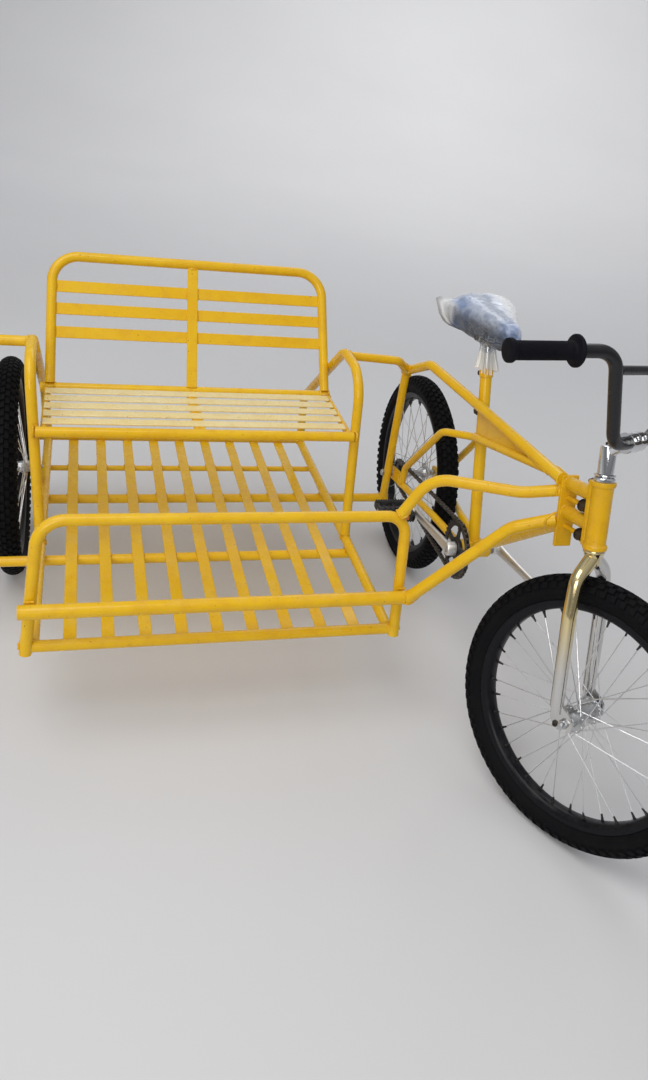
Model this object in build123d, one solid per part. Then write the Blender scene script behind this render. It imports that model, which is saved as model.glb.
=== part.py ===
from build123d import *
import os
from math import atan2, cos, degrees, pi, radians, sin, sqrt

os.makedirs("parts", exist_ok=True)

# Cycle rickshaw: a 20 inch bicycle with an open passenger sidecar on its
# right.  Millimetres.  +Z is up, the vehicle faces -Y, +X is its left side.
# Working frame: x = 0 is the bicycle's middle plane, y = 0 the rear axle,
# z = 0 the ground.  ORIGIN_X and ORIGIN_Y move all of it at the end, so that
# the origin is on the ground under the middle of the vehicle's box.
ORIGIN_X = -395.6
ORIGIN_Y = -420.9

GAP = 0.12                 # clearance left where one tube is fitted to another

# ---- wheels
TYRE_R = 254.0             # outside radius over the knobs
TYRE_HALF_W = 27.0
RIM_OUT_R = 209.0
RIM_IN_R = 192.0
RIM_HALF_W = 17.0
AXLE_R = 4.75
BORE_R = 4.80
SPOKE_R = 1.1
SPOKES = 36
FLANGE_R = 25.0
HUB_R = 13.0

# ---- bicycle
BB_Y, BB_Z = -413.0, 279.0          # crank centre
SEAT_TOP_Y, SEAT_TOP_Z = -287.2, 657.6   # top of the seat tube
HEAD_TOP_Y, HEAD_TOP_Z = -805.3, 657.4
HEAD_BOT_Y, HEAD_BOT_Z = -834.2, 542.6
HEAD_R = 18.0
STEERER_R = 12.7
FORK_OFFSET = 20.0                  # hub ahead of the steering axis
STEER_REST = 27.7                   # degrees that the steering stands turned to the left
CRANK_LEN = 170.0
CHAIN_X = -42.0
RING_R = 60.7
SPROCKET_R = 28.5

# ---- sidecar
X_RIGHT_EDGE = -242.0               # edge tube next to the bicycle
X_LEFT_EDGE = -921.0                # edge tube next to the third wheel
FLOOR_Z = 201.0
CROSS_Z = 179.0
FLOOR_FRONT_Y = -585.5
FLOOR_REAR_Y = 304.0
TUBE_R = 11.0
END_BORE_R, END_BORE_DEPTH = 9.5, 60.0   # open ends of the rear cross tube
SEAT_Z = 460.0
SEAT_FRONT_Y = -225.0
SEAT_REAR_Y = 12.0
ARM_Z = 597.0
BACK_TOP_Y, BACK_TOP_Z = 149.0, 721.0
SIDE_WHEEL_X, SIDE_WHEEL_Y = -989.0, 25.0
CAGE_X = -1057.0

# ---------------------------------------------------------------- helpers


def rod(pts, r, bend=None):
    """Round bar along a route of straight runs joined by arcs."""
    pts = [Vector(*p) for p in pts]
    if len(pts) == 2:
        d = pts[1] - pts[0]
        return Solid.make_cylinder(r, d.length, Plane(origin=pts[0], z_dir=d))
    line = FilletPolyline(*pts, radius=bend)
    start = Plane(origin=line @ 0, z_dir=line % 0)
    return sweep(start * Circle(r), path=line).solid()


def biggest(shape):
    return sorted(shape.solids(), key=lambda s: s.volume)[-1]


def fitted(shape, *cutters):
    """Takes the cutters away and keeps the main piece."""
    for c in cutters:
        shape = shape - c
        shape = biggest(shape)
    return shape


def bar(pts_box):
    (x0, y0, z0), (x1, y1, z1) = pts_box
    return Pos((x0 + x1) / 2, (y0 + y1) / 2, (z0 + z1) / 2) * Box(x1 - x0, y1 - y0, z1 - z0)


def flat_bar(p, q, width, thick, side):
    """Flat bar from p to q; side is the direction of its width."""
    p, q = Vector(*p), Vector(*q)
    d = q - p
    pl = Plane(origin=(p + q) * 0.5, x_dir=Vector(*side), z_dir=d)
    return (pl * Box(width, thick, d.length)).solid()


def xcyl(x0, x1, r, y=0.0, z=0.0):
    return Solid.make_cylinder(r, x1 - x0, Plane(origin=(x0, y, z), z_dir=(1, 0, 0)))


def ring_x(x0, x1, r_out, r_in, y=0.0, z=0.0):
    return xcyl(x0, x1, r_out, y, z) - xcyl(x0 - 1, x1 + 1, r_in, y, z)


NODES = {}


def node(name, *shapes):
    solids = []
    for s in shapes:
        solids += list(s.solids())
    NODES[name] = solids


# ---------------------------------------------------------------- wheels
# Each wheel is drawn about the origin, its axle along X.


def revolve_x(points):
    """Ring from a section given as (x, radius) points and arcs."""
    edges = []
    for kind, *p in points:
        v = [Vector(x, 0, r) for x, r in p]
        edges.append(Line(*v) if kind == "line" else ThreePointArc(*v))
    face = make_face(edges)
    return revolve(face, axis=Axis.X, revolution_arc=360).solid()


def tyre():
    w, r0, r1 = TYRE_HALF_W, RIM_OUT_R + 0.1, TYRE_R
    return revolve_x([
        ("line", (-15, r0), (15, r0)),
        ("arc", (15, r0), (w, r0 + 19), (20, r1 - 5)),
        ("arc", (20, r1 - 5), (0, r1), (-20, r1 - 5)),
        ("arc", (-20, r1 - 5), (-w, r0 + 19), (-15, r0)),
    ])


def rim():
    w, ro, ri = RIM_HALF_W, RIM_OUT_R, RIM_IN_R
    return revolve_x([
        ("line", (-w, ro), (w, ro)),
        ("line", (w, ro), (w, ri + 6)),
        ("line", (w, ri + 6), (9, ri)),
        ("line", (9, ri), (-9, ri)),
        ("line", (-9, ri), (-w, ri + 6)),
        ("line", (-w, ri + 6), (-w, ro)),
    ])


def spoked_hub(half, sprocket=False):
    """Hub shell with its flanges and laced spokes; half is the flange's x."""
    h = xcyl(-half - 14, half + 14, HUB_R)
    for x in (-half, half):
        h = h + xcyl(x - 1.5, x + 1.5, FLANGE_R)
    per = SPOKES // 2
    for side in (-1, 1):
        for k in range(per):
            a = 2 * pi * (k + (0.5 if side > 0 else 0)) / per
            lean = radians(62) * (1 if k % 2 else -1)
            p = (side * half, 22 * cos(a + lean), 22 * sin(a + lean))
            q = (side * 4, (RIM_IN_R - 0.4) * cos(a), (RIM_IN_R - 0.4) * sin(a))
            h = h + rod([p, q], SPOKE_R)
    if sprocket:
        h = h + xcyl(CHAIN_X - 1.4, CHAIN_X + 1.4, SPROCKET_R) + xcyl(CHAIN_X - 5, -half, 20)
    h = h - xcyl(-half - 40, half + 40, BORE_R)
    return biggest(h)


# ---------------------------------------------------------------- steering
HEAD_A = Vector(0, HEAD_TOP_Y - HEAD_BOT_Y, HEAD_TOP_Z - HEAD_BOT_Z).normalized()
HEAD_TOP = Vector(0, HEAD_TOP_Y, HEAD_TOP_Z)
HEAD_BOT = Vector(0, HEAD_BOT_Y, HEAD_BOT_Z)
FORWARD = Vector(0, -HEAD_A.Z, HEAD_A.Y)       # square to the head axis, ahead
STEER_AXIS = Axis(origin=HEAD_TOP, direction=HEAD_A)


def turned(v):
    """Vector turned about the steering axis by the rest angle."""
    s = radians(STEER_REST)
    return v * cos(s) + HEAD_A.cross(v) * sin(s) + HEAD_A * (HEAD_A.dot(v) * (1 - cos(s)))


AXLE_DIR = turned(Vector(1, 0, 0))
LEAN = sqrt(1 - AXLE_DIR.Z ** 2)
HUB_Z = (TYRE_R - TYRE_HALF_W) * LEAN + TYRE_HALF_W + 0.1    # the turned tyre touches z = 0
OFF = turned(FORWARD) * FORK_OFFSET
FOOT = HEAD_BOT + HEAD_A * ((HUB_Z - OFF.Z - HEAD_BOT.Z) / HEAD_A.Z)
FRONT_HUB = FOOT + OFF                                 # at rest, turned
FORK_LEN = (HEAD_BOT - FOOT).length


def L(x, fwd, up, base=HEAD_TOP):
    """Point of the steering group before it is turned: sideways, ahead, up."""
    return base + Vector(x, 0, 0) + FORWARD * fwd + HEAD_A * up


def steer(shape):
    return shape.rotate(STEER_AXIS, STEER_REST)


# ---------------------------------------------------------------- tube table
# name: (radius, bend radii, route)
SX = 59.0        # seat stay and dropout plane
TUBES = {
    "seat_tube": (12.7, None, [(0, BB_Y, BB_Z), (0, SEAT_TOP_Y, SEAT_TOP_Z)]),
    "down_tube": (12.0, None, [(0, BB_Y, BB_Z), (0, -727, 532)]),
    "top_tube": (11.0, [200, 50], [(-13, -708, 607), (-25.6, -314, 590), (-64, -132, 603), (-75, -12, 541)]),
    "stay_r": (8.5, [25, 60, 90], [(-SX, -76, 266), (-SX, -80, 308), (-54, -246, 487), (-21.5, -336, 517), (-16, -668, 605)]),
    "stay_l": (8.5, [25, 60, 90], [(SX, -76, 266), (SX, -80, 308), (54, -246, 487), (21.5, -336, 517), (-8, -668, 604.5)]),
    "upper_link_tube": (11.0, [75, 150], [(-245, -551, 447), (-200, -560.5, 534.6), (-63, -664, 558.7), (-14, -701, 583.5)]),
    "lower_link_tube": (12.0, [60], [(-232, -603, 276), (-80, -686.6, 497.8), (-14, -722, 536)]),
    "side_stay": (10.0, None, [(-75, -1, 176), (-75, -12, 541)]),
    "arm_link_tube": (10.0, [25], [(-245, -73, 595), (-122, -73, 588), (-78, -22, 545)]),
    "axle_bar": (TUBE_R, None, [(X_LEFT_EDGE - TUBE_R, 0, CROSS_Z), (-64, 0, CROSS_Z)]),
    "edge_r": (TUBE_R, None, [(X_RIGHT_EDGE, FLOOR_FRONT_Y, FLOOR_Z), (X_RIGHT_EDGE, FLOOR_REAR_Y, FLOOR_Z)]),
    "edge_l": (TUBE_R, None, [(X_LEFT_EDGE, FLOOR_FRONT_Y, FLOOR_Z), (X_LEFT_EDGE, FLOOR_REAR_Y, FLOOR_Z)]),
    "front_cross": (TUBE_R, None, [(X_LEFT_EDGE - TUBE_R, FLOOR_FRONT_Y - 0.5, FLOOR_Z), (X_RIGHT_EDGE + TUBE_R, FLOOR_FRONT_Y - 0.5, FLOOR_Z)]),
    "cross_1": (TUBE_R, None, [(CAGE_X, -268, CROSS_Z), (X_RIGHT_EDGE + TUBE_R, -268, CROSS_Z)]),
    "rear_bar": (7.0, None, [(X_LEFT_EDGE - TUBE_R, 154, CROSS_Z + 4), (X_RIGHT_EDGE + TUBE_R, 154, CROSS_Z + 4)]),
    "rear_cross": (TUBE_R, None, [(CAGE_X - TUBE_R, FLOOR_REAR_Y, FLOOR_Z), (X_RIGHT_EDGE + TUBE_R, FLOOR_REAR_Y, FLOOR_Z)]),
    "guard_hoop": (TUBE_R, [52, 40], [(-934, -594, 190), (-907, -551, 445), (-231, -551, 445), (-231, -594, 190)]),
    "guard_lower_rail": (13.5, None, [(-943, -604, 290), (-222, -604, 290)]),
    "seat_front": (TUBE_R, None, [(-928, SEAT_FRONT_Y, SEAT_Z), (-254, SEAT_FRONT_Y, SEAT_Z)]),
    "seat_rear": (TUBE_R, None, [(-931, SEAT_REAR_Y, SEAT_Z), (-254, SEAT_REAR_Y, SEAT_Z)]),
    "arm_r": (TUBE_R, [75, 75, 40], [(-244, -234, 212.2), (-250, -197, 597), (-250, -52, 597), (-250, 272, 348), (-244, 284, 212.2)]),
    "arm_l": (TUBE_R, [75, 75, 40], [(-921, -234, 212.2), (-933, -197, 597), (-933, -52, 597), (-926, 272, 348), (-921, 284, 212.2)]),
    "back": (TUBE_R, [60, 60], [(-903, SEAT_REAR_Y, 471), (-896, BACK_TOP_Y, BACK_TOP_Z), (-276, BACK_TOP_Y, BACK_TOP_Z), (-269, SEAT_REAR_Y, 471)]),
    "cage_side": (TUBE_R, None, [(CAGE_X, -268 - 12, FLOOR_Z), (CAGE_X, FLOOR_REAR_Y, FLOOR_Z)]),
    "cage_hoop": (TUBE_R, [45], [(-933, -72, ARM_Z - 1), (CAGE_X, -72, ARM_Z - 1), (CAGE_X, -72, FLOOR_Z)]),
}


def tube(name, grow=0.0):
    r, bend, route = TUBES[name]
    return rod(route, r + grow, bend)


def cut_tube(name, *others):
    return fitted(tube(name), *[tube(o, GAP) for o in others])


# ---------------------------------------------------------------- bicycle frame
bb = xcyl(-34, 34, 21, BB_Y, BB_Z)
bb_hole = xcyl(-60, 60, 9.06, BB_Y, BB_Z)

# gusset plate between seat tube, top tube and right stay
gusset = extrude(Plane(origin=(-16.8, 0, 0), x_dir=(0, 1, 0), z_dir=(1, 0, 0))
                 * make_face(Polyline((-326, 590), (-342, 519), (-560, 577), (-560, 596), (-330, 590), close=True)), 4)
seat_tube = biggest((tube("seat_tube") + bb) - bb_hole)
seat_tube = biggest(seat_tube - rod([(0, SEAT_TOP_Y - 0.3323 * 120, SEAT_TOP_Z - 120), (0, SEAT_TOP_Y + 0.3323 * 20, SEAT_TOP_Z + 20)], 11.2))
node("seat_tube", seat_tube)

# coupling plates: one welded to the frame tubes, one to the head tube
head_plane = Plane(origin=HEAD_TOP, x_dir=(1, 0, 0), z_dir=HEAD_A)


def head_box(x, back0, back1, up0, up1):
    """Plate parallel to the head tube: half width x, behind the axis, along the axis."""
    b = Box(2 * x, back1 - back0, up1 - up0)
    return head_plane * Pos(0, (back0 + back1) / 2, (up0 + up1) / 2) * b


HEAD_LEN = (HEAD_TOP - HEAD_BOT).length
frame_flange = head_box(16.6, 103, 111, -147, -15).solid()
LINK_UPS = (-30.0, -82.0)           # two spacers between the plates, measured along the head axis
link_up, link_dn = [rod([L(0, -16, u), L(0, -103.2, u)], 13) for u in LINK_UPS]
head = (rod([HEAD_BOT, HEAD_TOP], HEAD_R)
        + rod([HEAD_BOT, HEAD_BOT + HEAD_A * 9], 21) + rod([HEAD_TOP - HEAD_A * 9, HEAD_TOP], 21)
        + head_box(15.5, 14, 23, -HEAD_LEN + 2, -2) + link_up + link_dn)
head = biggest(head - rod([HEAD_BOT - HEAD_A * 5, HEAD_TOP + HEAD_A * 5], STEERER_R + 0.06))
head = fitted(head, head_box(16.8, 103 - GAP, 111, -148, -14))
node("head_tube", head)
node("frame_flange", frame_flange)
flange_cut = head_box(60, 60, 111 + GAP, -250, 150)

top = fitted(tube("top_tube") + (gusset - tube("stay_r", GAP)), flange_cut, tube("seat_tube", GAP))
node("top_tube", top)
stays = []
for s in ("stay_r", "stay_l"):
    st = tube(s)
    stays.append(fitted(st, tube("top_tube", GAP), tube("seat_tube", GAP), *([tube("stay_r", GAP)] if s == "stay_l" else [])))
node("seat_stays", *stays)
down = fitted(tube("down_tube"), flange_cut, tube("seat_tube", GAP), xcyl(-36, 36, 21 + GAP, BB_Y, BB_Z))
node("down_tube", down)
node("upper_link_tube", fitted(tube("upper_link_tube"), flange_cut, tube("guard_hoop", GAP), tube("top_tube", GAP), tube("stay_r", GAP)))
node("lower_link_tube", fitted(tube("lower_link_tube"), flange_cut, tube("guard_lower_rail", GAP), tube("down_tube", GAP), tube("guard_hoop", GAP)))

# chain stays with the dropout plates at their rear ends
AXLE_HOLE = xcyl(-120, 120, 5.1, 0, TYRE_R)
chain_stays = []
for side in (-1, 1):
    plate = extrude(Plane(origin=(side * SX - 2.5, 0, 0), x_dir=(0, 1, 0), z_dir=(1, 0, 0))
                    * make_face(Polyline((-72, 248), (-66, 284), (-30, 276), (0, 272), (18, 266),
                                         (18, 242), (0, 238), (-30, 244), close=True)), 5)
    cs = rod([(side * SX, -66, 257), (side * 36, -250, 268), (side * 24, BB_Y + 5, BB_Z - 2)], 9, [160]) + plate
    cs = fitted(cs, AXLE_HOLE, xcyl(-36, 36, 21 + GAP, BB_Y, BB_Z), tube("seat_tube", GAP),
                tube("stay_r" if side < 0 else "stay_l", GAP))
    chain_stays.append(cs)
node("chain_stays", *chain_stays)

axle = (xcyl(-92, 70, AXLE_R, 0, TYRE_R) + xcyl(-56.3, -50.6, 9, 0, TYRE_R) + xcyl(45.5, 56.3, 9, 0, TYRE_R)
        + xcyl(-64.6, -61.7, 9, 0, TYRE_R) + xcyl(61.7, 68, 9, 0, TYRE_R) + xcyl(-91, -85.6, 9, 0, TYRE_R))
node("rear_axle", axle.solid() if hasattr(axle, "solid") else axle)

side_stay = fitted(tube("side_stay"), AXLE_HOLE, tube("axle_bar", GAP), tube("top_tube", GAP))
node("side_stay", side_stay)
node("arm_link_tube", fitted(tube("arm_link_tube"), tube("arm_r", GAP), tube("side_stay", GAP), tube("top_tube", GAP)))

# ---------------------------------------------------------------- sidecar floor
floor_parts = []
sides = {s: fitted(tube(s), tube("front_cross", GAP)) for s in ("edge_r", "edge_l")}
under = [tube(c, GAP) for c in ("cross_1", "rear_bar", "rear_cross", "axle_bar")]
for s in ("edge_r", "edge_l"):
    floor_parts.append(fitted(sides[s], *under))
floor_parts.append(tube("front_cross"))
floor_parts.append(cut_tube("cross_1", "cage_side"))
rear_cross = tube("rear_cross")
for x0 in (CAGE_X - TUBE_R - 1, X_RIGHT_EDGE + TUBE_R - END_BORE_DEPTH):
    rear_cross = rear_cross - xcyl(x0, x0 + END_BORE_DEPTH + 1, END_BORE_R, FLOOR_REAR_Y, FLOOR_Z)
floor_parts.append(biggest(rear_cross))
node("floor_frame", *floor_parts)
node("axle_bar", tube("axle_bar"))
node("rear_floor_bar", tube("rear_bar"))

# floor slats: flat bars running front to back between the edge tubes
SLATS = 9
SLAT_PITCH = 69.0
SLAT_W, SLAT_T = 24.0, 4.0
MID_X = (X_LEFT_EDGE + X_RIGHT_EDGE) / 2
slats = []
for k in range(SLATS):
    x = MID_X + (k - (SLATS - 1) / 2) * SLAT_PITCH
    z0 = CROSS_Z + TUBE_R + 0.1
    slats.append(bar(((x - SLAT_W / 2, FLOOR_FRONT_Y + 11.5, z0), (x + SLAT_W / 2, FLOOR_REAR_Y - 11.5, z0 + SLAT_T))).solid())
node("floor_slats", *slats)

# ---------------------------------------------------------------- front guard
hoop = fitted(tube("guard_hoop"), tube("edge_r", GAP), tube("edge_l", GAP), tube("front_cross", GAP))
node("guard_hoop", hoop)
node("guard_lower_rail", cut_tube("guard_lower_rail", "guard_hoop"))

# ---------------------------------------------------------------- seat
seat_parts = [cut_tube("seat_front", "arm_r", "arm_l"), cut_tube("seat_rear", "arm_r", "arm_l")]
for x in (-262.5, -908.5):
    seat_parts.append(fitted(rod([(x, SEAT_FRONT_Y, SEAT_Z - 2), (x, SEAT_REAR_Y, SEAT_Z - 2)], 8),
                             tube("seat_front", GAP), tube("seat_rear", GAP),
                             tube("arm_r", GAP), tube("arm_l", GAP)))
# flat bar under the middle of the slats
seat_parts.append(fitted(bar(((-606, SEAT_FRONT_Y, SEAT_Z + 2.1), (-582, SEAT_REAR_Y, SEAT_Z + 6.1))),
                         tube("seat_front", GAP), tube("seat_rear", GAP)))
node("seat_frame", *seat_parts)
# seat slats: flat bars running side to side on the seat frame
SEAT_SLATS = 5
seat_slats = []
for k in range(SEAT_SLATS):
    y = SEAT_FRONT_Y + 35 + k * 40.5
    seat_slats.append(bar(((-912, y - 13, SEAT_Z + 6.3), (-268, y + 13, SEAT_Z + 10.3))).solid())
node("seat_slats", *seat_slats)

arms = [fitted(tube("arm_r"), tube("edge_r", GAP), tube("side_stay", GAP)),
        fitted(tube("arm_l"), tube("edge_l", GAP))]
node("armrests", *arms)

back = fitted(tube("back"), tube("seat_rear", GAP), tube("arm_r", GAP), tube("arm_l", GAP))
node("backrest_hoop", back)
BACK_RUN, BACK_RISE = BACK_TOP_Y - SEAT_REAR_Y, BACK_TOP_Z - 471
BACK_DIR = Vector(0, BACK_RUN, BACK_RISE).normalized()
BACK_SLATS = (0.76, 0.585, 0.40)      # places along the backrest, bottom 0, top 1
back_slats = []
for t in BACK_SLATS:
    y, z = SEAT_REAR_Y + t * BACK_RUN, 471 + t * BACK_RISE
    w = 0.5 * 26
    back_slats.append(fitted(flat_bar((-900 + 6 * t, y, z), (-272 - 6 * t, y, z), 26, 4, tuple(BACK_DIR)),
                             tube("back", GAP)))
node("backrest_slats", *back_slats)
nrm = Vector(0, -BACK_DIR.Z, BACK_DIR.Y)      # towards the sitter
c0 = Vector(-590, SEAT_REAR_Y, 471) + nrm * 4.3
c1 = Vector(-586, BACK_TOP_Y, BACK_TOP_Z) + nrm * 4.3
centre = flat_bar(tuple(c0 - BACK_DIR * 6), tuple(c1 - BACK_DIR * 2), 24, 4, (1, 0, 0))
centre = fitted(centre, tube("back", GAP), tube("seat_rear", GAP))
node("backrest_centre_bar", centre)

# ---------------------------------------------------------------- third wheel's carrier
cage_side = cut_tube("cage_side", "rear_cross")
cage_hoop = cut_tube("cage_hoop", "cage_side", "arm_l")
node("wheel_cage", cage_side, cage_hoop)
plates = []
for x, edge in ((SIDE_WHEEL_X + 52.0, "edge_l"), (SIDE_WHEEL_X - 52.0, "cage_side")):
    p = bar(((x - 2.5, SIDE_WHEEL_Y - 22, FLOOR_Z - 8), (x + 2.5, SIDE_WHEEL_Y + 22, TYRE_R + 20))).solid()
    p = fitted(p, tube(edge, GAP), xcyl(x - 9, x + 9, 5.1, SIDE_WHEEL_Y, TYRE_R), tube("axle_bar", GAP))
    plates.append(p)
node("axle_plates", *plates)
sa = xcyl(SIDE_WHEEL_X - 68, SIDE_WHEEL_X + 66, AXLE_R, SIDE_WHEEL_Y, TYRE_R)
for x0, x1 in ((-49.3, -45), (45, 49.3), (-60, -54.7), (54.7, 60)):
    sa = sa + xcyl(SIDE_WHEEL_X + x0, SIDE_WHEEL_X + x1, 9, SIDE_WHEEL_Y, TYRE_R)
node("sidecar_axle", fitted(sa, tube("edge_l", GAP), tube("cage_side", GAP)))

# ---------------------------------------------------------------- chain, post, saddle


def pulley_loop(r1, r2, x0, x1):
    """Closed band round two pulleys, at the crank and at the rear axle."""
    d = sqrt(BB_Y ** 2 + (BB_Z - TYRE_R) ** 2)
    ang = atan2(BB_Z - TYRE_R, BB_Y)
    a = radians(90) - 0
    from_angle = atan2(r1 - r2, d)
    pts = []
    pl = Plane(origin=(x0, 0, TYRE_R), x_dir=(0, cos(ang), sin(ang)), z_dir=(1, 0, 0))
    s, c = sin(from_angle), cos(from_angle)
    p = [(-r2 * s, r2 * c), (d - r1 * s, r1 * c), (d + r1, 0), (d - r1 * s, -r1 * c), (-r2 * s, -r2 * c), (-r2, 0)]
    edges = [Line(p[0], p[1]), ThreePointArc(p[1], p[2], p[3]), Line(p[3], p[4]), ThreePointArc(p[4], p[5], p[0])]
    return extrude(pl * make_face(edges), x1 - x0)


chain = pulley_loop(RING_R + 7.5, SPROCKET_R + 7.5, CHAIN_X - 4, CHAIN_X + 4) \
    - pulley_loop(RING_R + 0.6, SPROCKET_R + 0.6, CHAIN_X - 6, CHAIN_X + 6)
node("chain", chain)

ST = Vector(0, SEAT_TOP_Y - BB_Y, SEAT_TOP_Z - BB_Z).normalized()
POST_TOP = Vector(0, SEAT_TOP_Y, SEAT_TOP_Z) + ST * 64
post = rod([Vector(0, SEAT_TOP_Y, SEAT_TOP_Z) - ST * 100, POST_TOP], 11.1)
clamp = xcyl(-22, 22, 15, POST_TOP.Y, POST_TOP.Z)
rails = []
for side in (-1, 1):
    rails.append(rod([(side * 21, POST_TOP.Y + 84, POST_TOP.Z + 16), (side * 21, POST_TOP.Y + 50, POST_TOP.Z),
                      (side * 21, POST_TOP.Y - 36, POST_TOP.Z), (side * 9, POST_TOP.Y - 96, POST_TOP.Z + 16)], 3.5, 18))
node("seat_post", biggest(post + clamp + rails[0] + rails[1]))

SADDLE_Y, SADDLE_Z = POST_TOP.Y, POST_TOP.Z + 20
outline = make_face([
    ThreePointArc((0, 100), (46, 87), (67, 47)),
    Line((67, 47), (61, 17)),
    ThreePointArc((61, 17), (40, -38), (23, -93)),
    ThreePointArc((23, -93), (16, -128), (0, -135)),
    ThreePointArc((0, -135), (-16, -128), (-23, -93)),
    ThreePointArc((-23, -93), (-40, -38), (-61, 17)),
    Line((-61, 17), (-67, 47)),
    ThreePointArc((-67, 47), (-46, 87), (0, 100)),
])
saddle = extrude(Pos(0, SADDLE_Y + 20, SADDLE_Z) * outline, 52)
node("saddle", saddle)

# ---------------------------------------------------------------- crank and pedals
crank = xcyl(-62, 62, 9, BB_Y, BB_Z)
for side in (-1, 1):
    # the right arm points to the rear, the left arm ahead
    ey = BB_Y - side * CRANK_LEN
    arm = rod([(side * 52, BB_Y, BB_Z), (side * 66, BB_Y, BB_Z), (side * 84, ey, BB_Z)], 8, [9])
    eye = xcyl(side * 84 - 7, side * 84 + 7, 12, ey, BB_Z)
    crank = crank + arm + eye + (xcyl(side * 84, side * 176, AXLE_R, ey, BB_Z) if side > 0
                                 else xcyl(side * 176, side * 84, AXLE_R, ey, BB_Z))
crank = biggest(crank)
ring = ring_x(CHAIN_X - 1.4, CHAIN_X + 1.4, RING_R, RING_R - 12, BB_Y, BB_Z)
ring = ring + ring_x(CHAIN_X - 1.4, CHAIN_X + 1.4, 26, 9.1, BB_Y, BB_Z)
for k in range(5):
    a = 2 * pi * k / 5 + 0.3
    ring = ring + rod([(CHAIN_X, BB_Y + 20 * cos(a), BB_Z + 20 * sin(a)),
                       (CHAIN_X, BB_Y + (RING_R - 6) * cos(a), BB_Z + (RING_R - 6) * sin(a))], 1.4)
node("crank_arms", crank)
node("chainring", ring)
for side, name in ((-1, "right_pedal"), (1, "left_pedal")):
    ey = BB_Y - side * CRANK_LEN
    x0, x1 = (92.5, 174) if side > 0 else (-174, -92.5)
    body = bar(((x0, ey - 36, BB_Z - 12), (x1, ey + 36, BB_Z + 12))).solid()
    slot = 22
    mid = (x0 + x1) / 2
    for sy in (-1, 1):
        body = body - bar(((mid - 30, ey + sy * 19 - 9, BB_Z - 20), (mid + 30, ey + sy * 19 + 9, BB_Z + 20)))
    body = body - xcyl(min(x0, x1) - 5, max(x0, x1) + 5, BORE_R, ey, BB_Z)
    node(name, biggest(body))

# ---------------------------------------------------------------- wheels in place
for name, half, centre, spr in (
        ("rear", 30.0, (0, 0, TYRE_R), True),
        ("sidecar", 28.0, (SIDE_WHEEL_X, SIDE_WHEEL_Y, TYRE_R), False)):
    place = Pos(*centre)
    node(name + "_tyre", place * tyre())
    node(name + "_rim", place * rim())
    node(name + "_hub", place * spoked_hub(half, spr))

front_hub_straight = FOOT + FORWARD * FORK_OFFSET
for part, shape in (("tyre", tyre()), ("rim", rim()), ("hub", spoked_hub(28.0))):
    node("front_" + part, steer(Pos(*front_hub_straight) * shape))

# ---------------------------------------------------------------- fork, stem, bars
LEG_X = 52.0
LEG_R = 12.5
fork = rod([HEAD_BOT - HEAD_A * 14, HEAD_TOP + HEAD_A * 40], STEERER_R)
fork = fork + rod([HEAD_BOT - HEAD_A * 12, HEAD_BOT - HEAD_A * 0.4], 19)
for side in (-1, 1):
    leg = rod([L(0, 0, -14, HEAD_BOT), L(side * 43, 0, -46, HEAD_BOT), L(side * LEG_X, 0, -110, HEAD_BOT),
               L(side * LEG_X, 0, -FORK_LEN + 22, HEAD_BOT)], LEG_R, [36, 60])
    plate = flat_bar(L(side * LEG_X, -6, -FORK_LEN + 4, HEAD_BOT), L(side * LEG_X, FORK_OFFSET + 14, -FORK_LEN + 4, HEAD_BOT), 40, 5, tuple(HEAD_A))
    fork = fork + leg + plate
fork = biggest(fork - rod([front_hub_straight - Vector(80, 0, 0), front_hub_straight + Vector(80, 0, 0)], 5.1))
node("fork", steer(fork))
fa = rod([front_hub_straight - Vector(68, 0, 0), front_hub_straight + Vector(68, 0, 0)], AXLE_R)
for x0, x1 in ((-49.3, -43), (43, 49.3), (-62, -54.7), (54.7, 62)):
    fa = fa + rod([front_hub_straight + Vector(x0, 0, 0), front_hub_straight + Vector(x1, 0, 0)], 9)
node("front_axle", steer(fa))

BAR_E, BAR_H, BAR_R = 39.0, 74.0, 10.6
BAR_LOW_X = 60.0
BAR_TOP = (135.0, 65.0, 225.0)       # sideways, ahead, up
GRIP_END = (296.0, -6.0, 220.0)
GRIP_LEN = 106.0
stem = (rod([HEAD_TOP + HEAD_A * 0.4, HEAD_TOP + HEAD_A * 13], 18)
        + rod([HEAD_TOP + HEAD_A * 12, HEAD_TOP + HEAD_A * 62], 14)
        + rod([L(0, 0, 54), L(0, BAR_E, BAR_H)], 12)
        + rod([L(-22, BAR_E, BAR_H), L(22, BAR_E, BAR_H)], 17))
stem = biggest(stem - rod([L(-60, BAR_E, BAR_H), L(60, BAR_E, BAR_H)], BAR_R + 0.1)
               - rod([HEAD_TOP - HEAD_A * 5, HEAD_TOP + HEAD_A * 41], STEERER_R + 0.1))
node("stem", steer(stem))


def bar_point(p, side):
    return L(side * p[0], p[1], p[2])


bar_pts = [bar_point(GRIP_END, -1), bar_point(BAR_TOP, -1), L(-BAR_LOW_X, BAR_E, BAR_H),
           L(BAR_LOW_X, BAR_E, BAR_H), bar_point(BAR_TOP, 1), bar_point(GRIP_END, 1)]
hb = rod([tuple(p) for p in bar_pts], BAR_R, [46, 42, 42, 46])
hb = hb + rod([L(-118, 60, 196), L(118, 60, 196)], 7.5)
node("handlebar", steer(biggest(hb)))
grips = []
for side in (-1, 1):
    end = bar_point(GRIP_END, side)
    d = (end - bar_point(BAR_TOP, side)).normalized()
    g = (rod([end + d * 5, end - d * GRIP_LEN], 14) + rod([end - d * (GRIP_LEN - 3), end - d * (GRIP_LEN + 4)], 24)
         + rod([end + d * 6, end - d * 4], 17.5))
    g = g - rod([end, end - d * 160], BAR_R + 0.1)
    grips.append(biggest(g))
node("grips", *[steer(g) for g in grips])

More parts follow.
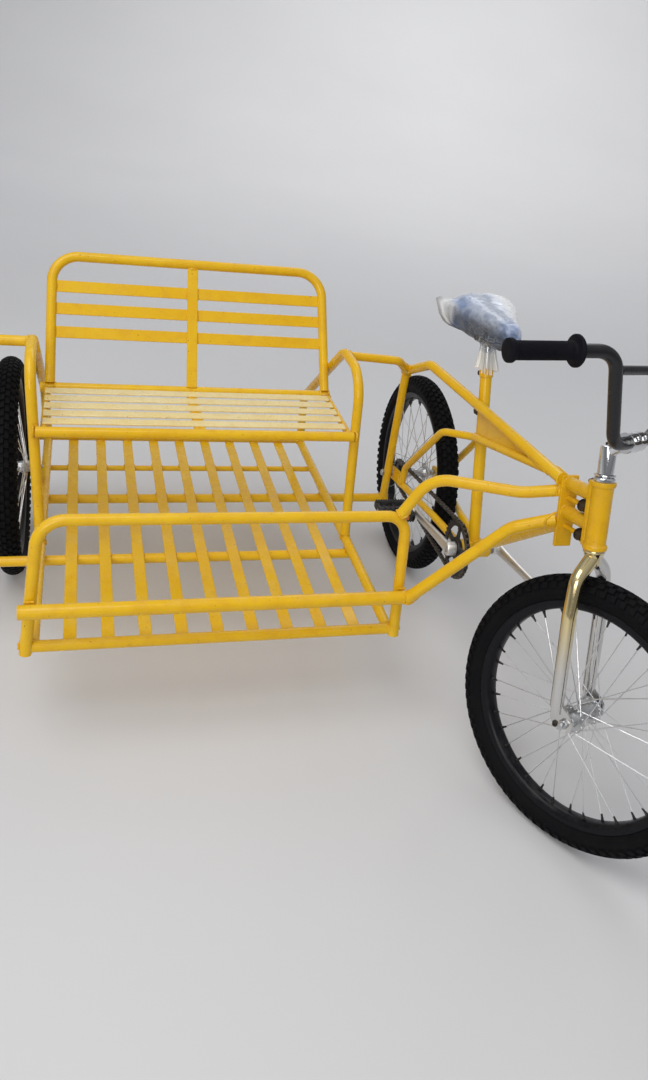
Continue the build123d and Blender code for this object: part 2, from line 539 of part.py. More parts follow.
# ---------------------------------------------------------------- write
MOVE = Pos(-ORIGIN_X, -ORIGIN_Y, 0)
for name, solids in NODES.items():
    placed = [MOVE * s for s in solids]
    export_step(placed[0] if len(placed) == 1 else Compound(children=placed), f"parts/{name}.step")

print("front hub", FRONT_HUB, "axle", AXLE_DIR, "fork length", FORK_LEN, "straight hub", front_hub_straight)
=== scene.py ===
from math import atan2, cos, degrees, pi, radians, sin, sqrt, tan, hypot

import bmesh
import bpy
from mathutils import Matrix, Quaternion, Vector, noise


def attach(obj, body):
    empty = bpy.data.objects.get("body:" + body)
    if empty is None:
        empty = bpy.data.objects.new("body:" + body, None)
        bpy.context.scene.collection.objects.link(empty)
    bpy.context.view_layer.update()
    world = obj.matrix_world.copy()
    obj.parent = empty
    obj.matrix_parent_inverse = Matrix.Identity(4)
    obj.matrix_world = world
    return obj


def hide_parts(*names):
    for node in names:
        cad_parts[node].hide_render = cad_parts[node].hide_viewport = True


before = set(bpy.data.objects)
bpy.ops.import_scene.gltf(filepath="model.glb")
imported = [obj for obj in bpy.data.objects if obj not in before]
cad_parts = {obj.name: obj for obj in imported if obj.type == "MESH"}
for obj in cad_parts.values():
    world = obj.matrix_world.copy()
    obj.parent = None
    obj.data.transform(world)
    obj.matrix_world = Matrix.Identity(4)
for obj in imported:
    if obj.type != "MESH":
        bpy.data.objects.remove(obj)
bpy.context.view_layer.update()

# Working frame, millimetres: x = 0 is the bicycle's middle plane, y = 0 the
# rear axle, z = 0 the ground, -Y ahead, +X the vehicle's left.
ORIGIN_X, ORIGIN_Y = -395.6, -420.9
MM = Matrix.Scale(0.001, 4) @ Matrix.Translation((-ORIGIN_X, -ORIGIN_Y, 0))

TYRE_R = 254.0
BB = Vector((0, -413, 279))
HEAD_TOP = Vector((0, -805.3, 657.4))
HEAD_BOT = Vector((0, -834.2, 542.6))
HEAD_A = (HEAD_TOP - HEAD_BOT).normalized()
FORWARD = Vector((0, -HEAD_A.z, HEAD_A.y))
STEER_REST = radians(27.7)
TURN = Matrix.Translation(HEAD_TOP) @ Matrix.Rotation(STEER_REST, 4, HEAD_A) @ Matrix.Translation(-HEAD_TOP)
FRONT_HUB0 = Vector((0, -927.680, 253.193))      # before the steering is turned
FORK_LEN = 303.471
REAR_HUB = Vector((0, 0, 254))
SIDE_HUB = Vector((-989, 25, 254))

# ------------------------------------------------------------------ camera
CAM = Vector((-827.785, -1951.547, 1269.969))
YAW, PITCH, ROLL = radians(19.40928), radians(27.83325), radians(9.03386)
F_PX, PPX, PPY = 889.25, 359.117, 497.923
fw = Vector((sin(YAW) * cos(PITCH), cos(YAW) * cos(PITCH), -sin(PITCH)))
rt = Vector((cos(YAW), -sin(YAW), 0))
up = rt.cross(fw)
r2 = rt * cos(ROLL) + up * sin(ROLL)
u2 = -rt * sin(ROLL) + up * cos(ROLL)
cam_data = bpy.data.cameras.new("camera")
cam = bpy.data.objects.new("camera", cam_data)
bpy.context.scene.collection.objects.link(cam)
rot = Matrix((r2, u2, -fw)).transposed()
cam.matrix_world = Matrix.Translation(MM @ CAM) @ rot.to_4x4()
cam_data.sensor_fit = "AUTO"
cam_data.sensor_width = 36.0
cam_data.lens = F_PX / 1080.0 * 36.0
cam_data.shift_x = (324.0 - PPX) / 1080.0
cam_data.shift_y = (PPY - 540.0) / 1080.0
cam_data.clip_start, cam_data.clip_end = 0.02, 200.0
bpy.context.scene.camera = cam


# ------------------------------------------------------------------ materials
def new_mat(name):
    m = bpy.data.materials.new(name)
    m.use_nodes = True
    nt = m.node_tree
    nt.nodes.clear()
    out = nt.nodes.new("ShaderNodeOutputMaterial")
    bs = nt.nodes.new("ShaderNodeBsdfPrincipled")
    nt.links.new(bs.outputs[0], out.inputs[0])
    return m, nt, bs


def N(nt, kind, **kw):
    n = nt.nodes.new(kind)
    for k, v in kw.items():
        if k.startswith("i_"):
            key = k[2:]
            n.inputs[int(key) if key.isdigit() else key].default_value = v
        else:
            setattr(n, k, v)
    return n


def coords(nt, scale=(1, 1, 1)):
    tc = N(nt, "ShaderNodeTexCoord")
    mp = N(nt, "ShaderNodeMapping")
    mp.inputs["Scale"].default_value = scale
    nt.links.new(tc.outputs["Object"], mp.inputs["Vector"])
    return mp.outputs["Vector"]


def noise_tex(nt, vec, scale, detail=4.0, rough=0.55, lac=2.0):
    n = N(nt, "ShaderNodeTexNoise")
    n.inputs["Scale"].default_value = scale
    n.inputs["Detail"].default_value = detail
    n.inputs["Roughness"].default_value = rough
    n.inputs["Lacunarity"].default_value = lac
    nt.links.new(vec, n.inputs["Vector"])
    return n.outputs["Fac"]


def ramp(nt, fac, stops, interp="LINEAR"):
    r = N(nt, "ShaderNodeValToRGB")
    r.color_ramp.interpolation = interp
    el = r.color_ramp.elements
    while len(el) > 1:
        el.remove(el[-1])
    el[0].position, el[0].color = stops[0][0], stops[0][1]
    for p, c in stops[1:]:
        e = el.new(p)
        e.color = c
    nt.links.new(fac, r.inputs["Fac"])
    return r.outputs["Color"]


def g(v):
    return (v, v, v, 1.0)


def mix(nt, fac, a, b):
    m = N(nt, "ShaderNodeMix", data_type="RGBA")
    if isinstance(fac, float):
        m.inputs[0].default_value = fac
    else:
        nt.links.new(fac, m.inputs[0])
    for sock, v in ((m.inputs[6], a), (m.inputs[7], b)):
        if isinstance(v, tuple):
            sock.default_value = v
        else:
            nt.links.new(v, sock)
    return m.outputs[2]


def math(nt, op, a, b=None, clamp=False):
    m = N(nt, "ShaderNodeMath", operation=op, use_clamp=clamp)
    for i, v in ((0, a), (1, b)):
        if v is None:
            continue
        if isinstance(v, (int, float)):
            m.inputs[i].default_value = v
        else:
            nt.links.new(v, m.inputs[i])
    return m.outputs[0]


def bump(nt, bs, height, strength, distance):
    b = N(nt, "ShaderNodeBump")
    b.inputs["Strength"].default_value = strength
    b.inputs["Distance"].default_value = distance
    nt.links.new(height, b.inputs["Height"])
    nt.links.new(b.outputs[0], bs.inputs["Normal"])
    return b


def up_facing(nt):
    geo = N(nt, "ShaderNodeNewGeometry")
    sx = N(nt, "ShaderNodeSeparateXYZ")
    nt.links.new(geo.outputs["Normal"], sx.inputs[0])
    return sx.outputs["Z"]


def enamel(name, base, deep, pale, dust=0.25, chips=True):
    """Glossy brushed-on enamel: colour that varies a little, orange peel, fine dust on top."""
    m, nt, bs = new_mat(name)
    v = coords(nt)
    big = noise_tex(nt, v, 5.0, 3.0)
    mid = noise_tex(nt, v, 38.0, 5.0, 0.6)
    fine = noise_tex(nt, v, 420.0, 3.0, 0.6)
    c = mix(nt, ramp(nt, big, [(0.35, g(0)), (0.7, g(1))]), base, pale)
    c = mix(nt, ramp(nt, mid, [(0.45, g(0)), (0.8, g(0.75))]), c, deep)
    z = up_facing(nt)
    dirt = math(nt, "MULTIPLY", ramp(nt, z, [(0.35, g(0)), (0.95, g(1))]),
                ramp(nt, noise_tex(nt, v, 22.0, 8.0, 0.7), [(0.45, g(0)), (0.75, g(1))]))
    dirt = math(nt, "MULTIPLY", dirt, dust)
    c = mix(nt, dirt, c, (0.58, 0.52, 0.42, 1))
    if chips:
        spots = math(nt, "GREATER_THAN", noise_tex(nt, v, 160.0, 2.0, 0.4), 0.735)
        c = mix(nt, math(nt, "MULTIPLY", spots, 0.55), c, (0.20, 0.12, 0.04, 1))
    nt.links.new(c, bs.inputs["Base Color"])
    rough = ramp(nt, mid, [(0.3, g(0.20)), (0.7, g(0.34))])
    rough = mix(nt, dirt, rough, g(0.8))
    nt.links.new(rough, bs.inputs["Roughness"])
    bs.inputs["Specular IOR Level"].default_value = 0.26
    bs.inputs["Coat Weight"].default_value = 0.22
    bs.inputs["Coat Roughness"].default_value = 0.06
    peel = math(nt, "ADD", math(nt, "MULTIPLY", fine, 0.5), math(nt, "MULTIPLY", noise_tex(nt, v, 90.0, 2.0), 0.9))
    bump(nt, bs, peel, 0.22, 0.0009)
    return m


def chrome_mat(name, tint=(0.70, 0.71, 0.72, 1), rough=(0.05, 0.16), pit=0.25, frame_reflection=0.0):
    m, nt, bs = new_mat(name)
    v = coords(nt)
    smear = noise_tex(nt, v, 30.0, 6.0, 0.65)
    spots = noise_tex(nt, v, 900.0, 2.0, 0.5)
    c = mix(nt, ramp(nt, spots, [(0.66, g(0)), (0.72, g(pit))]), tint, (0.22, 0.16, 0.10, 1))
    c = mix(nt, ramp(nt, noise_tex(nt, v, 9.0, 3.0), [(0.4, g(0)), (0.8, g(0.35))]), c, (0.50, 0.50, 0.52, 1))
    if frame_reflection:      # painted reflection of the yellow frame, mixed into the plating towards the crown, on the right blade of the fork
        tc = N(nt, "ShaderNodeTexCoord")
        sx = N(nt, "ShaderNodeSeparateXYZ")
        nt.links.new(tc.outputs["Object"], sx.inputs[0])
        up = ramp(nt, sx.outputs["Z"], [(0.32, g(0)), (0.45, g(frame_reflection))], "EASE")
        side = math(nt, "ADD", math(nt, "MULTIPLY", sx.outputs["X"], 0.8854), math(nt, "MULTIPLY", sx.outputs["Y"], 0.4507))
        side = math(nt, "SUBTRACT", side, math(nt, "MULTIPLY", sx.outputs["Z"], 0.1135))
        right = math(nt, "ADD", math(nt, "MULTIPLY", math(nt, "SUBTRACT", 0.1024, side), 60.0), 0.5, True)
        up = math(nt, "MULTIPLY", up, right)
        # Yellow mixed in high on the right blade only: painted reflection of the frame.
        c = mix(nt, up, c, (0.78, 0.60, 0.20, 1))
    nt.links.new(c, bs.inputs["Base Color"])
    bs.inputs["Metallic"].default_value = 1.0
    nt.links.new(ramp(nt, smear, [(0.35, g(rough[0])), (0.75, g(rough[1]))]), bs.inputs["Roughness"])
    lines = coords(nt, (1.0, 1.0, 0.12))
    bump(nt, bs, noise_tex(nt, lines, 1500.0, 2.0), 0.03, 0.0004)
    return m


def steel_mat(name, col, rough=0.38, stain=(0.16, 0.11, 0.07, 1), amount=0.5):
    m, nt, bs = new_mat(name)
    v = coords(nt)
    a = noise_tex(nt, v, 140.0, 6.0, 0.7)
    c = mix(nt, ramp(nt, a, [(0.48, g(0)), (0.72, g(amount))]), col, stain)
    nt.links.new(c, bs.inputs["Base Color"])
    bs.inputs["Metallic"].default_value = 0.92
    nt.links.new(ramp(nt, a, [(0.3, g(rough * 0.8)), (0.8, g(min(1, rough * 1.7)))]), bs.inputs["Roughness"])
    bump(nt, bs, noise_tex(nt, v, 700.0, 3.0), 0.12, 0.0005)
    return m


def black_paint(name, coat=0.25, gloss=0.34):
    m, nt, bs = new_mat(name)
    v = coords(nt)
    a = noise_tex(nt, v, 45.0, 6.0, 0.65)
    z = up_facing(nt)
    dust = math(nt, "MULTIPLY", ramp(nt, z, [(0.2, g(0)), (1.0, g(1))]), ramp(nt, a, [(0.42, g(0.0)), (0.75, g(0.10))]))
    c = mix(nt, dust, (0.0045, 0.0045, 0.0065, 1), (0.22, 0.21, 0.20, 1))
    bs.inputs["Specular IOR Level"].default_value = gloss
    nt.links.new(c, bs.inputs["Base Color"])
    nt.links.new(ramp(nt, a, [(0.3, g(0.24)), (0.75, g(0.42))]), bs.inputs["Roughness"])
    bs.inputs["Coat Weight"].default_value = coat
    bs.inputs["Coat Roughness"].default_value = 0.2
    bump(nt, bs, noise_tex(nt, v, 600.0, 3.0), 0.10, 0.0006)
    return m


def rubber(name, base=(0.012, 0.012, 0.014, 1), dusty=(0.13, 0.12, 0.115, 1), amount=0.55, rough=0.62):
    m, nt, bs = new_mat(name)
    v = coords(nt)
    a = noise_tex(nt, v, 26.0, 8.0, 0.7)
    b = noise_tex(nt, v, 700.0, 4.0, 0.6)
    d = math(nt, "MULTIPLY", ramp(nt, a, [(0.45, g(0)), (0.78, g(1))]), amount)
    d = math(nt, "ADD", d, math(nt, "MULTIPLY", ramp(nt, b, [(0.5, g(0)), (0.8, g(1))]), 0.12), True)
    nt.links.new(mix(nt, d, base, dusty), bs.inputs["Base Color"])
    nt.links.new(ramp(nt, a, [(0.3, g(rough)), (0.8, g(min(1, rough + 0.25)))]), bs.inputs["Roughness"])
    bs.inputs["Specular IOR Level"].default_value = 0.11
    bump(nt, bs, math(nt, "ADD", b, math(nt, "MULTIPLY", noise_tex(nt, v, 160.0, 4.0), 0.7)), 0.35, 0.0005)
    return m


def plastic(name, base, rough=0.45, grain=1800.0, amount=0.3):
    m, nt, bs = new_mat(name)
    v = coords(nt)
    a = noise_tex(nt, v, 60.0, 5.0, 0.6)
    dusty = tuple(min(1, c * 1.6 + 0.06) for c in base[:3]) + (1,)
    nt.links.new(mix(nt, ramp(nt, a, [(0.45, g(0)), (0.8, g(amount))]), base, dusty), bs.inputs["Base Color"])
    nt.links.new(ramp(nt, a, [(0.3, g(rough)), (0.8, g(rough + 0.2))]), bs.inputs["Roughness"])
    bump(nt, bs, noise_tex(nt, v, grain, 2.0), 0.25, 0.0003)
    return m


def vinyl(name):
    """Dark vinyl with a leather grain of small cells."""
    m, nt, bs = new_mat(name)
    v = coords(nt)
    vo = N(nt, "ShaderNodeTexVoronoi", feature="DISTANCE_TO_EDGE")
    vo.inputs["Scale"].default_value = 620.0
    nt.links.new(v, vo.inputs["Vector"])
    cell = ramp(nt, vo.outputs["Distance"], [(0.0, g(0)), (0.12, g(1))])
    a = noise_tex(nt, v, 40.0, 5.0, 0.6)
    c = mix(nt, ramp(nt, a, [(0.35, g(0)), (0.75, g(1))]), (0.012, 0.016, 0.028, 1), (0.030, 0.040, 0.066, 1))
    c = mix(nt, math(nt, "MULTIPLY", math(nt, "SUBTRACT", 1.0, cell), 0.5), c, (0.004, 0.005, 0.008, 1))
    nt.links.new(c, bs.inputs["Base Color"])
    nt.links.new(ramp(nt, a, [(0.3, g(0.34)), (0.8, g(0.52))]), bs.inputs["Roughness"])
    bs.inputs["Coat Weight"].default_value = 0.2
    bs.inputs["Coat Roughness"].default_value = 0.3
    bump(nt, bs, math(nt, "ADD", cell, math(nt, "MULTIPLY", a, 0.8)), 0.3, 0.0006)
    return m


def film_mat(name):
    """Clear wrapping film: mostly see-through, whitish and shiny along its creases."""
    m, nt, bs = new_mat(name)
    v = coords(nt, (1.0, 1.0, 0.6))
    a = noise_tex(nt, v, 20.0, 3.5, 0.55)
    crease = ramp(nt, a, [(0.43, g(0)), (0.50, g(1)), (0.60, g(0))], "EASE")
    soft = noise_tex(nt, v, 9.0, 2.0, 0.5)
    fres = N(nt, "ShaderNodeFresnel")
    fres.inputs["IOR"].default_value = 1.45
    z = up_facing(nt)
    # Film more opaque on upward faces and nearly clear underneath: painted light on the top, painted shade on the
    # underside.
    body = ramp(nt, z, [(0.0, g(0.10)), (0.35, g(0.26)), (0.9, g(0.52))])
    alpha = math(nt, "ADD", math(nt, "MULTIPLY", fres.outputs[0], 0.6), math(nt, "MULTIPLY", crease, 0.06))
    alpha = math(nt, "ADD", alpha, body, True)
    tc = N(nt, "ShaderNodeTexCoord")
    sx = N(nt, "ShaderNodeSeparateXYZ")
    nt.links.new(tc.outputs["Object"], sx.inputs[0])
    corner = math(nt, "MULTIPLY", math(nt, "SUBTRACT", 0.3325, sx.outputs["X"]), 90.0, True)      # the bag's empty corner beside the saddle
    alpha = math(nt, "MAXIMUM", alpha, math(nt, "MULTIPLY", corner, 0.42))
    painted_glare = math(nt, "MULTIPLY", math(nt, "SUBTRACT", sx.outputs["X"], 0.402), 36.0, True)      # painted glare on the far side's upward faces: whiter, more opaque film
    painted_glare = math(nt, "MULTIPLY", painted_glare, ramp(nt, z, [(0.0, g(0)), (0.3, g(1))]))
    alpha = math(nt, "ADD", alpha, math(nt, "MULTIPLY", painted_glare, 0.60), True)
    skirt = math(nt, "MULTIPLY", math(nt, "SUBTRACT", 0.706, sx.outputs["Z"]), 60.0, True)      # gathered layers round the post
    alpha = math(nt, "MAXIMUM", alpha, math(nt, "MULTIPLY", skirt, 0.50))
    nt.links.new(alpha, bs.inputs["Alpha"])
    tint = mix(nt, ramp(nt, soft, [(0.4, g(0)), (0.62, g(1))]), (0.40, 0.54, 0.88, 1), (0.66, 0.75, 0.93, 1))
    tint = mix(nt, math(nt, "MULTIPLY", crease, 0.35), tint, (0.92, 0.94, 0.98, 1))
    # The empty corner, and the painted glare on the far side, turn the tint nearly white.
    tint = mix(nt, math(nt, "MAXIMUM", corner, painted_glare), tint, (0.97, 0.98, 0.99, 1))
    nt.links.new(mix(nt, skirt, tint, (0.96, 0.95, 0.90, 1)), bs.inputs["Base Color"])
    nt.links.new(ramp(nt, a, [(0.3, g(0.10)), (0.7, g(0.24))]), bs.inputs["Roughness"])
    # Specular and coat follow how far a face turns upward (and the skirt): downward faces lose their shine, a painted
    # shade under the saddle.
    gloss = ramp(nt, math(nt, "MAXIMUM", z, skirt), [(0.0, g(0.12)), (0.25, g(0.4)), (0.6, g(0.8))])
    nt.links.new(gloss, bs.inputs["Specular IOR Level"])
    nt.links.new(gloss, bs.inputs["Coat Weight"])
    bs.inputs["Coat Roughness"].default_value = 0.06
    bump(nt, bs, math(nt, "ADD", a, math(nt, "MULTIPLY", noise_tex(nt, v, 70.0, 3.0), 0.25)), 0.45, 0.004)
    return m


def amber(name):
    """Moulded reflector lens with a fine grid of prisms under a smooth face."""
    m, nt, bs = new_mat(name)
    v = coords(nt)
    vo = N(nt, "ShaderNodeTexVoronoi", feature="F1")
    vo.inputs["Scale"].default_value = 480.0
    vo.inputs["Randomness"].default_value = 0.0
    nt.links.new(v, vo.inputs["Vector"])
    d = ramp(nt, vo.outputs["Distance"], [(0.0, g(1)), (0.6, g(0))])
    nt.links.new(mix(nt, d, (0.26, 0.075, 0.006, 1), (0.82, 0.30, 0.03, 1)), bs.inputs["Base Color"])
    bs.inputs["Roughness"].default_value = 0.18
    bs.inputs["Coat Weight"].default_value = 0.7
    bs.inputs["Coat Roughness"].default_value = 0.05
    bump(nt, bs, d, 0.4, 0.0008)
    return m


YELLOW = enamel("golden_enamel", (0.80, 0.462, 0.006, 1), (0.70, 0.365, 0.004, 1), (0.84, 0.520, 0.014, 1), dust=0.12)
# Darker copy of the golden enamel for the head tube and the coupling plate: painted shade for faces turned away from
# the light.
SHADED_ENAMEL = enamel("shaded_enamel", (0.72, 0.385, 0.004, 1), (0.60, 0.300, 0.003, 1), (0.77, 0.440, 0.008, 1), dust=0.10)
WELD = enamel("weld_enamel", (0.72, 0.395, 0.005, 1), (0.52, 0.26, 0.004, 1), (0.79, 0.47, 0.012, 1), dust=0.12)
# Paler, creamier copy of the golden enamel for the seat slats: a painted reflection of the bright sky on their flat
# glossy tops.
SHEEN_ENAMEL = enamel("sheen_enamel", (0.84, 0.675, 0.300, 1), (0.78, 0.570, 0.190, 1), (0.87, 0.745, 0.410, 1), dust=0.2)
CHROME = chrome_mat("chrome_plate")
# The fork plating carries a painted yellow reflection of the frame near the crown.
FORK_CHROME = chrome_mat("fork_chrome_plate", (0.64, 0.63, 0.61, 1), (0.10, 0.24), 0.3, 0.7)
SPOKE = steel_mat("spoke_steel", (0.74, 0.74, 0.75, 1), 0.30, (0.42, 0.40, 0.37, 1), 0.35)
ALU = steel_mat("satin_aluminium", (0.80, 0.79, 0.765, 1), 0.34, (0.50, 0.48, 0.45, 1), 0.30)
ZINC = steel_mat("zinc_steel", (0.52, 0.53, 0.54, 1), 0.30, (0.20, 0.16, 0.12, 1), 0.35)
BOLT = steel_mat("bolt_steel", (0.085, 0.075, 0.065, 1), 0.45, (0.14, 0.07, 0.03, 1), 0.6)
DARK = steel_mat("dark_steel", (0.05, 0.05, 0.052, 1), 0.36, (0.10, 0.06, 0.035, 1), 0.4)
CHAIN = steel_mat("chain_steel", (0.115, 0.105, 0.095, 1), 0.33, (0.045, 0.03, 0.02, 1), 0.7)
BLACK = black_paint("black_paint")
RIM_BLACK = black_paint("rim_black_paint", 0.04, 0.16)
TYRE = rubber("tyre_rubber", (0.0030, 0.0032, 0.0042, 1), (0.026, 0.024, 0.022, 1), 0.22, 0.62)
GRIP = rubber("grip_rubber", (0.0045, 0.0045, 0.0075, 1), (0.03, 0.03, 0.034, 1), 0.2, 0.55)
VINYL = vinyl("saddle_vinyl")
THREAD = plastic("seam_thread", (0.05, 0.05, 0.06, 1), 0.6)
PLASTIC = plastic("black_plastic", (0.013, 0.013, 0.014, 1), 0.42)
INSIDE = plastic("tube_inside", (0.055, 0.038, 0.020, 1), 0.8, 900.0, 0.4)
AMBER = amber("amber_lens")
FILM = film_mat("clear_film")


# ------------------------------------------------------------------ geometry
class G:
    """Collects faces in working millimetres; each face has a material number."""

    def __init__(s, M=None):
        s.v, s.f, s.m = [], [], []
        s.M = M or Matrix.Identity(4)

    def add(s, verts, faces, mat=0, M=None):
        b = len(s.v)
        T = s.M @ M if M is not None else s.M
        s.v += [tuple(T @ Vector(p)) for p in verts]
        s.f += [tuple(i + b for i in f) for f in faces]
        s.m += [mat] * len(faces)

    def rings(s, rings, mat=0, closed=False, caps=True, M=None):
        """Skins a list of rings, each with the same number of points."""
        n, k = len(rings), len(rings[0])
        verts = [p for r in rings for p in r]
        faces = []
        for i in range(n if closed else n - 1):
            j = (i + 1) % n
            for a in range(k):
                b = (a + 1) % k
                faces.append((i * k + a, i * k + b, j * k + b, j * k + a))
        if caps and not closed:
            faces.append(tuple(range(k))[::-1])
            faces.append(tuple((n - 1) * k + a for a in range(k)))
        s.add(verts, faces, mat, M)

    def tube(s, pts, r, seg=16, mat=0, closed=False, caps=True, M=None, squash=None):
        """Round tube along points; r is a number or one for each point."""
        pts = [Vector(p) for p in pts]
        n = len(pts)
        rr = r if isinstance(r, (list, tuple)) else [r] * n
        tang = []
        for i in range(n):
            a = pts[(i - 1) % n] if (closed or i > 0) else pts[i]
            b = pts[(i + 1) % n] if (closed or i < n - 1) else pts[i]
            tang.append((b - a).normalized())
        ref = Vector((0, 0, 1)) if abs(tang[0].z) < 0.9 else Vector((1, 0, 0))
        e = (ref - tang[0] * ref.dot(tang[0])).normalized()
        rings = []
        for i in range(n):
            t = tang[i]
            e = (e - t * e.dot(t)).normalized()
            w = t.cross(e)
            q = squash[i] if squash else 1.0
            rings.append([pts[i] + e * (rr[i] * cos(2 * pi * a / seg)) + w * (rr[i] * q * sin(2 * pi * a / seg)) for a in range(seg)])
        s.rings(rings, mat, closed, caps, M)

    def lathe(s, prof, seg=64, mat=0, closed=True, M=None):
        """Profile of (x, radius) turned about X; closed joins its last point to its first."""
        k = len(prof)
        verts = [(x, r * cos(2 * pi * i / seg), r * sin(2 * pi * i / seg)) for i in range(seg) for x, r in prof]
        faces = []
        for i in range(seg):
            j = (i + 1) % seg
            for a in range(k if closed else k - 1):
                b = (a + 1) % k
                faces.append((i * k + a, j * k + a, j * k + b, i * k + b))
        s.add(verts, faces, mat, M)

    def solid_lathe(s, prof, seg=32, mat=0, M=None):
        """Turned solid: an open profile whose two ends are closed with discs."""
        k = len(prof)
        verts = [(x, r * cos(2 * pi * i / seg), r * sin(2 * pi * i / seg)) for i in range(seg) for x, r in prof]
        faces = []
        for i in range(seg):
            j = (i + 1) % seg
            for a in range(k - 1):
                faces.append((i * k + a, j * k + a, j * k + a + 1, i * k + a + 1))
        faces.append(tuple(i * k for i in range(seg))[::-1])
        faces.append(tuple(i * k + k - 1 for i in range(seg)))
        s.add(verts, faces, mat, M)

    def prism(s, outline, x0, x1, mat=0, M=None, holes=None):
        """Flat plate with an outline of (y, z) points, from x0 to x1."""
        k = len(outline)
        verts = [(x0, y, z) for y, z in outline] + [(x1, y, z) for y, z in outline]
        faces = [tuple(range(k))[::-1], tuple(range(k, 2 * k))]
        faces += [(a, (a + 1) % k, k + (a + 1) % k, k + a) for a in range(k)]
        s.add(verts, faces, mat, M)

    def box(s, lo, hi, mat=0, M=None, ch=0.0):
        """Box with chamfered edges."""
        x0, y0, z0 = lo
        x1, y1, z1 = hi
        if ch <= 0:
            s.prism([(y0, z0), (y1, z0), (y1, z1), (y0, z1)], x0, x1, mat, M)
            return
        o = [(y0 + ch, z0), (y1 - ch, z0), (y1, z0 + ch), (y1, z1 - ch), (y1 - ch, z1), (y0 + ch, z1), (y0, z1 - ch), (y0, z0 + ch)]
        cy, cz = (y0 + y1) / 2, (z0 + z1) / 2
        hy, hz = (y1 - y0) / 2, (z1 - z0) / 2
        rings = []
        for x, f in ((x0, 1), (x0 + ch, 0), (x1 - ch, 0), (x1, 1)):
            rings.append([(x, cy + (y - cy) * (1 - f * ch / hy), cz + (z - cz) * (1 - f * ch / hz)) for y, z in o])
        s.rings(rings, mat, M=M)

    def nut(s, x0, x1, af, bore, mat=0, M=None, seg=6):
        """Hexagon nut along X with chamfered corners and a bore."""
        c = af / 2 / cos(pi / 6)
        prof = [(x0, bore), (x0, af / 2 * 0.97), (x0 + 0.9, None), (x1 - 0.9, None), (x1, af / 2 * 0.97), (x1, bore)]
        n = 48
        verts, faces = [], []
        for i in range(n):
            a = 2 * pi * i / n
            h = (af / 2) / cos(((a + pi / 6) % (pi / 3)) - pi / 6)
            for x, r in prof:
                rr = h if r is None else r
                verts.append((x, rr * cos(a), rr * sin(a)))
        k = len(prof)
        for i in range(n):
            j = (i + 1) % n
            for a in range(k):
                b = (a + 1) % k
                faces.append((i * k + a, j * k + a, j * k + b, i * k + b))
        s.add(verts, faces, mat, M)


def make(name, geo, mats, body, replaces=(), sharp=35.0, fix=True, weld=0.0):
    me = bpy.data.meshes.new(name)
    me.from_pydata([tuple(MM @ Vector(p)) for p in geo.v], [], geo.f)
    for m in mats:
        me.materials.append(m)
    me.polygons.foreach_set("material_index", geo.m)
    me.polygons.foreach_set("use_smooth", [True] * len(geo.f))
    me.update()
    me.validate()
    if fix or weld:
        bm = bmesh.new()
        bm.from_mesh(me)
        if weld:
            bmesh.ops.remove_doubles(bm, verts=bm.verts, dist=weld * 0.001)
        bmesh.ops.recalc_face_normals(bm, faces=bm.faces)
        bm.to_mesh(me)
        bm.free()
    if sharp is not None:
        me.set_sharp_from_angle(angle=radians(sharp))
    ob = bpy.data.objects.new(name, me)
    bpy.context.scene.collection.objects.link(ob)
    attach(ob, body)
    if replaces:
        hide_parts(*replaces)
    return ob


def along(p, d, x=None):
    """Matrix that takes X to the direction d at the point p."""
    d = Vector(d).normalized()
    ref = Vector(x) if x is not None else (Vector((0, 0, 1)) if abs(d.z) < 0.9 else Vector((0, 1, 0)))
    y = (ref - d * ref.dot(d)).normalized()
    z = d.cross(y)
    return Matrix.Translation(Vector(p)) @ Matrix((d, y, z)).transposed().to_4x4()


def rounded(pts, radii, step=8.0):
    """Route with round bends, as a list of points."""
    pts = [Vector(p) for p in pts]
    out = [pts[0]]
    for i in range(1, len(pts) - 1):
        a, b, c = pts[i - 1], pts[i], pts[i + 1]
        u, w = (a - b).normalized(), (c - b).normalized()
        ang = pi - u.angle(w)
        R = radii[i - 1]
        t = R * tan(ang / 2)
        s0, s1 = b + u * t, b + w * t
        mid = (u + w).normalized()
        cen = b + mid * (R / cos(ang / 2))
        n = max(3, int(R * ang / step) + 1)
        v0, v1 = s0 - cen, s1 - cen
        for k in range(n + 1):
            f = k / n
            q = (v0 * sin((1 - f) * ang) + v1 * sin(f * ang)) / sin(ang)
            out.append(cen + q)
    out.append(pts[-1])
    return out


def head(x, ahead, upw, base=HEAD_TOP):
    """Point of the steering group before it is turned."""
    return base + Vector((x, 0, 0)) + FORWARD * ahead + HEAD_A * upw


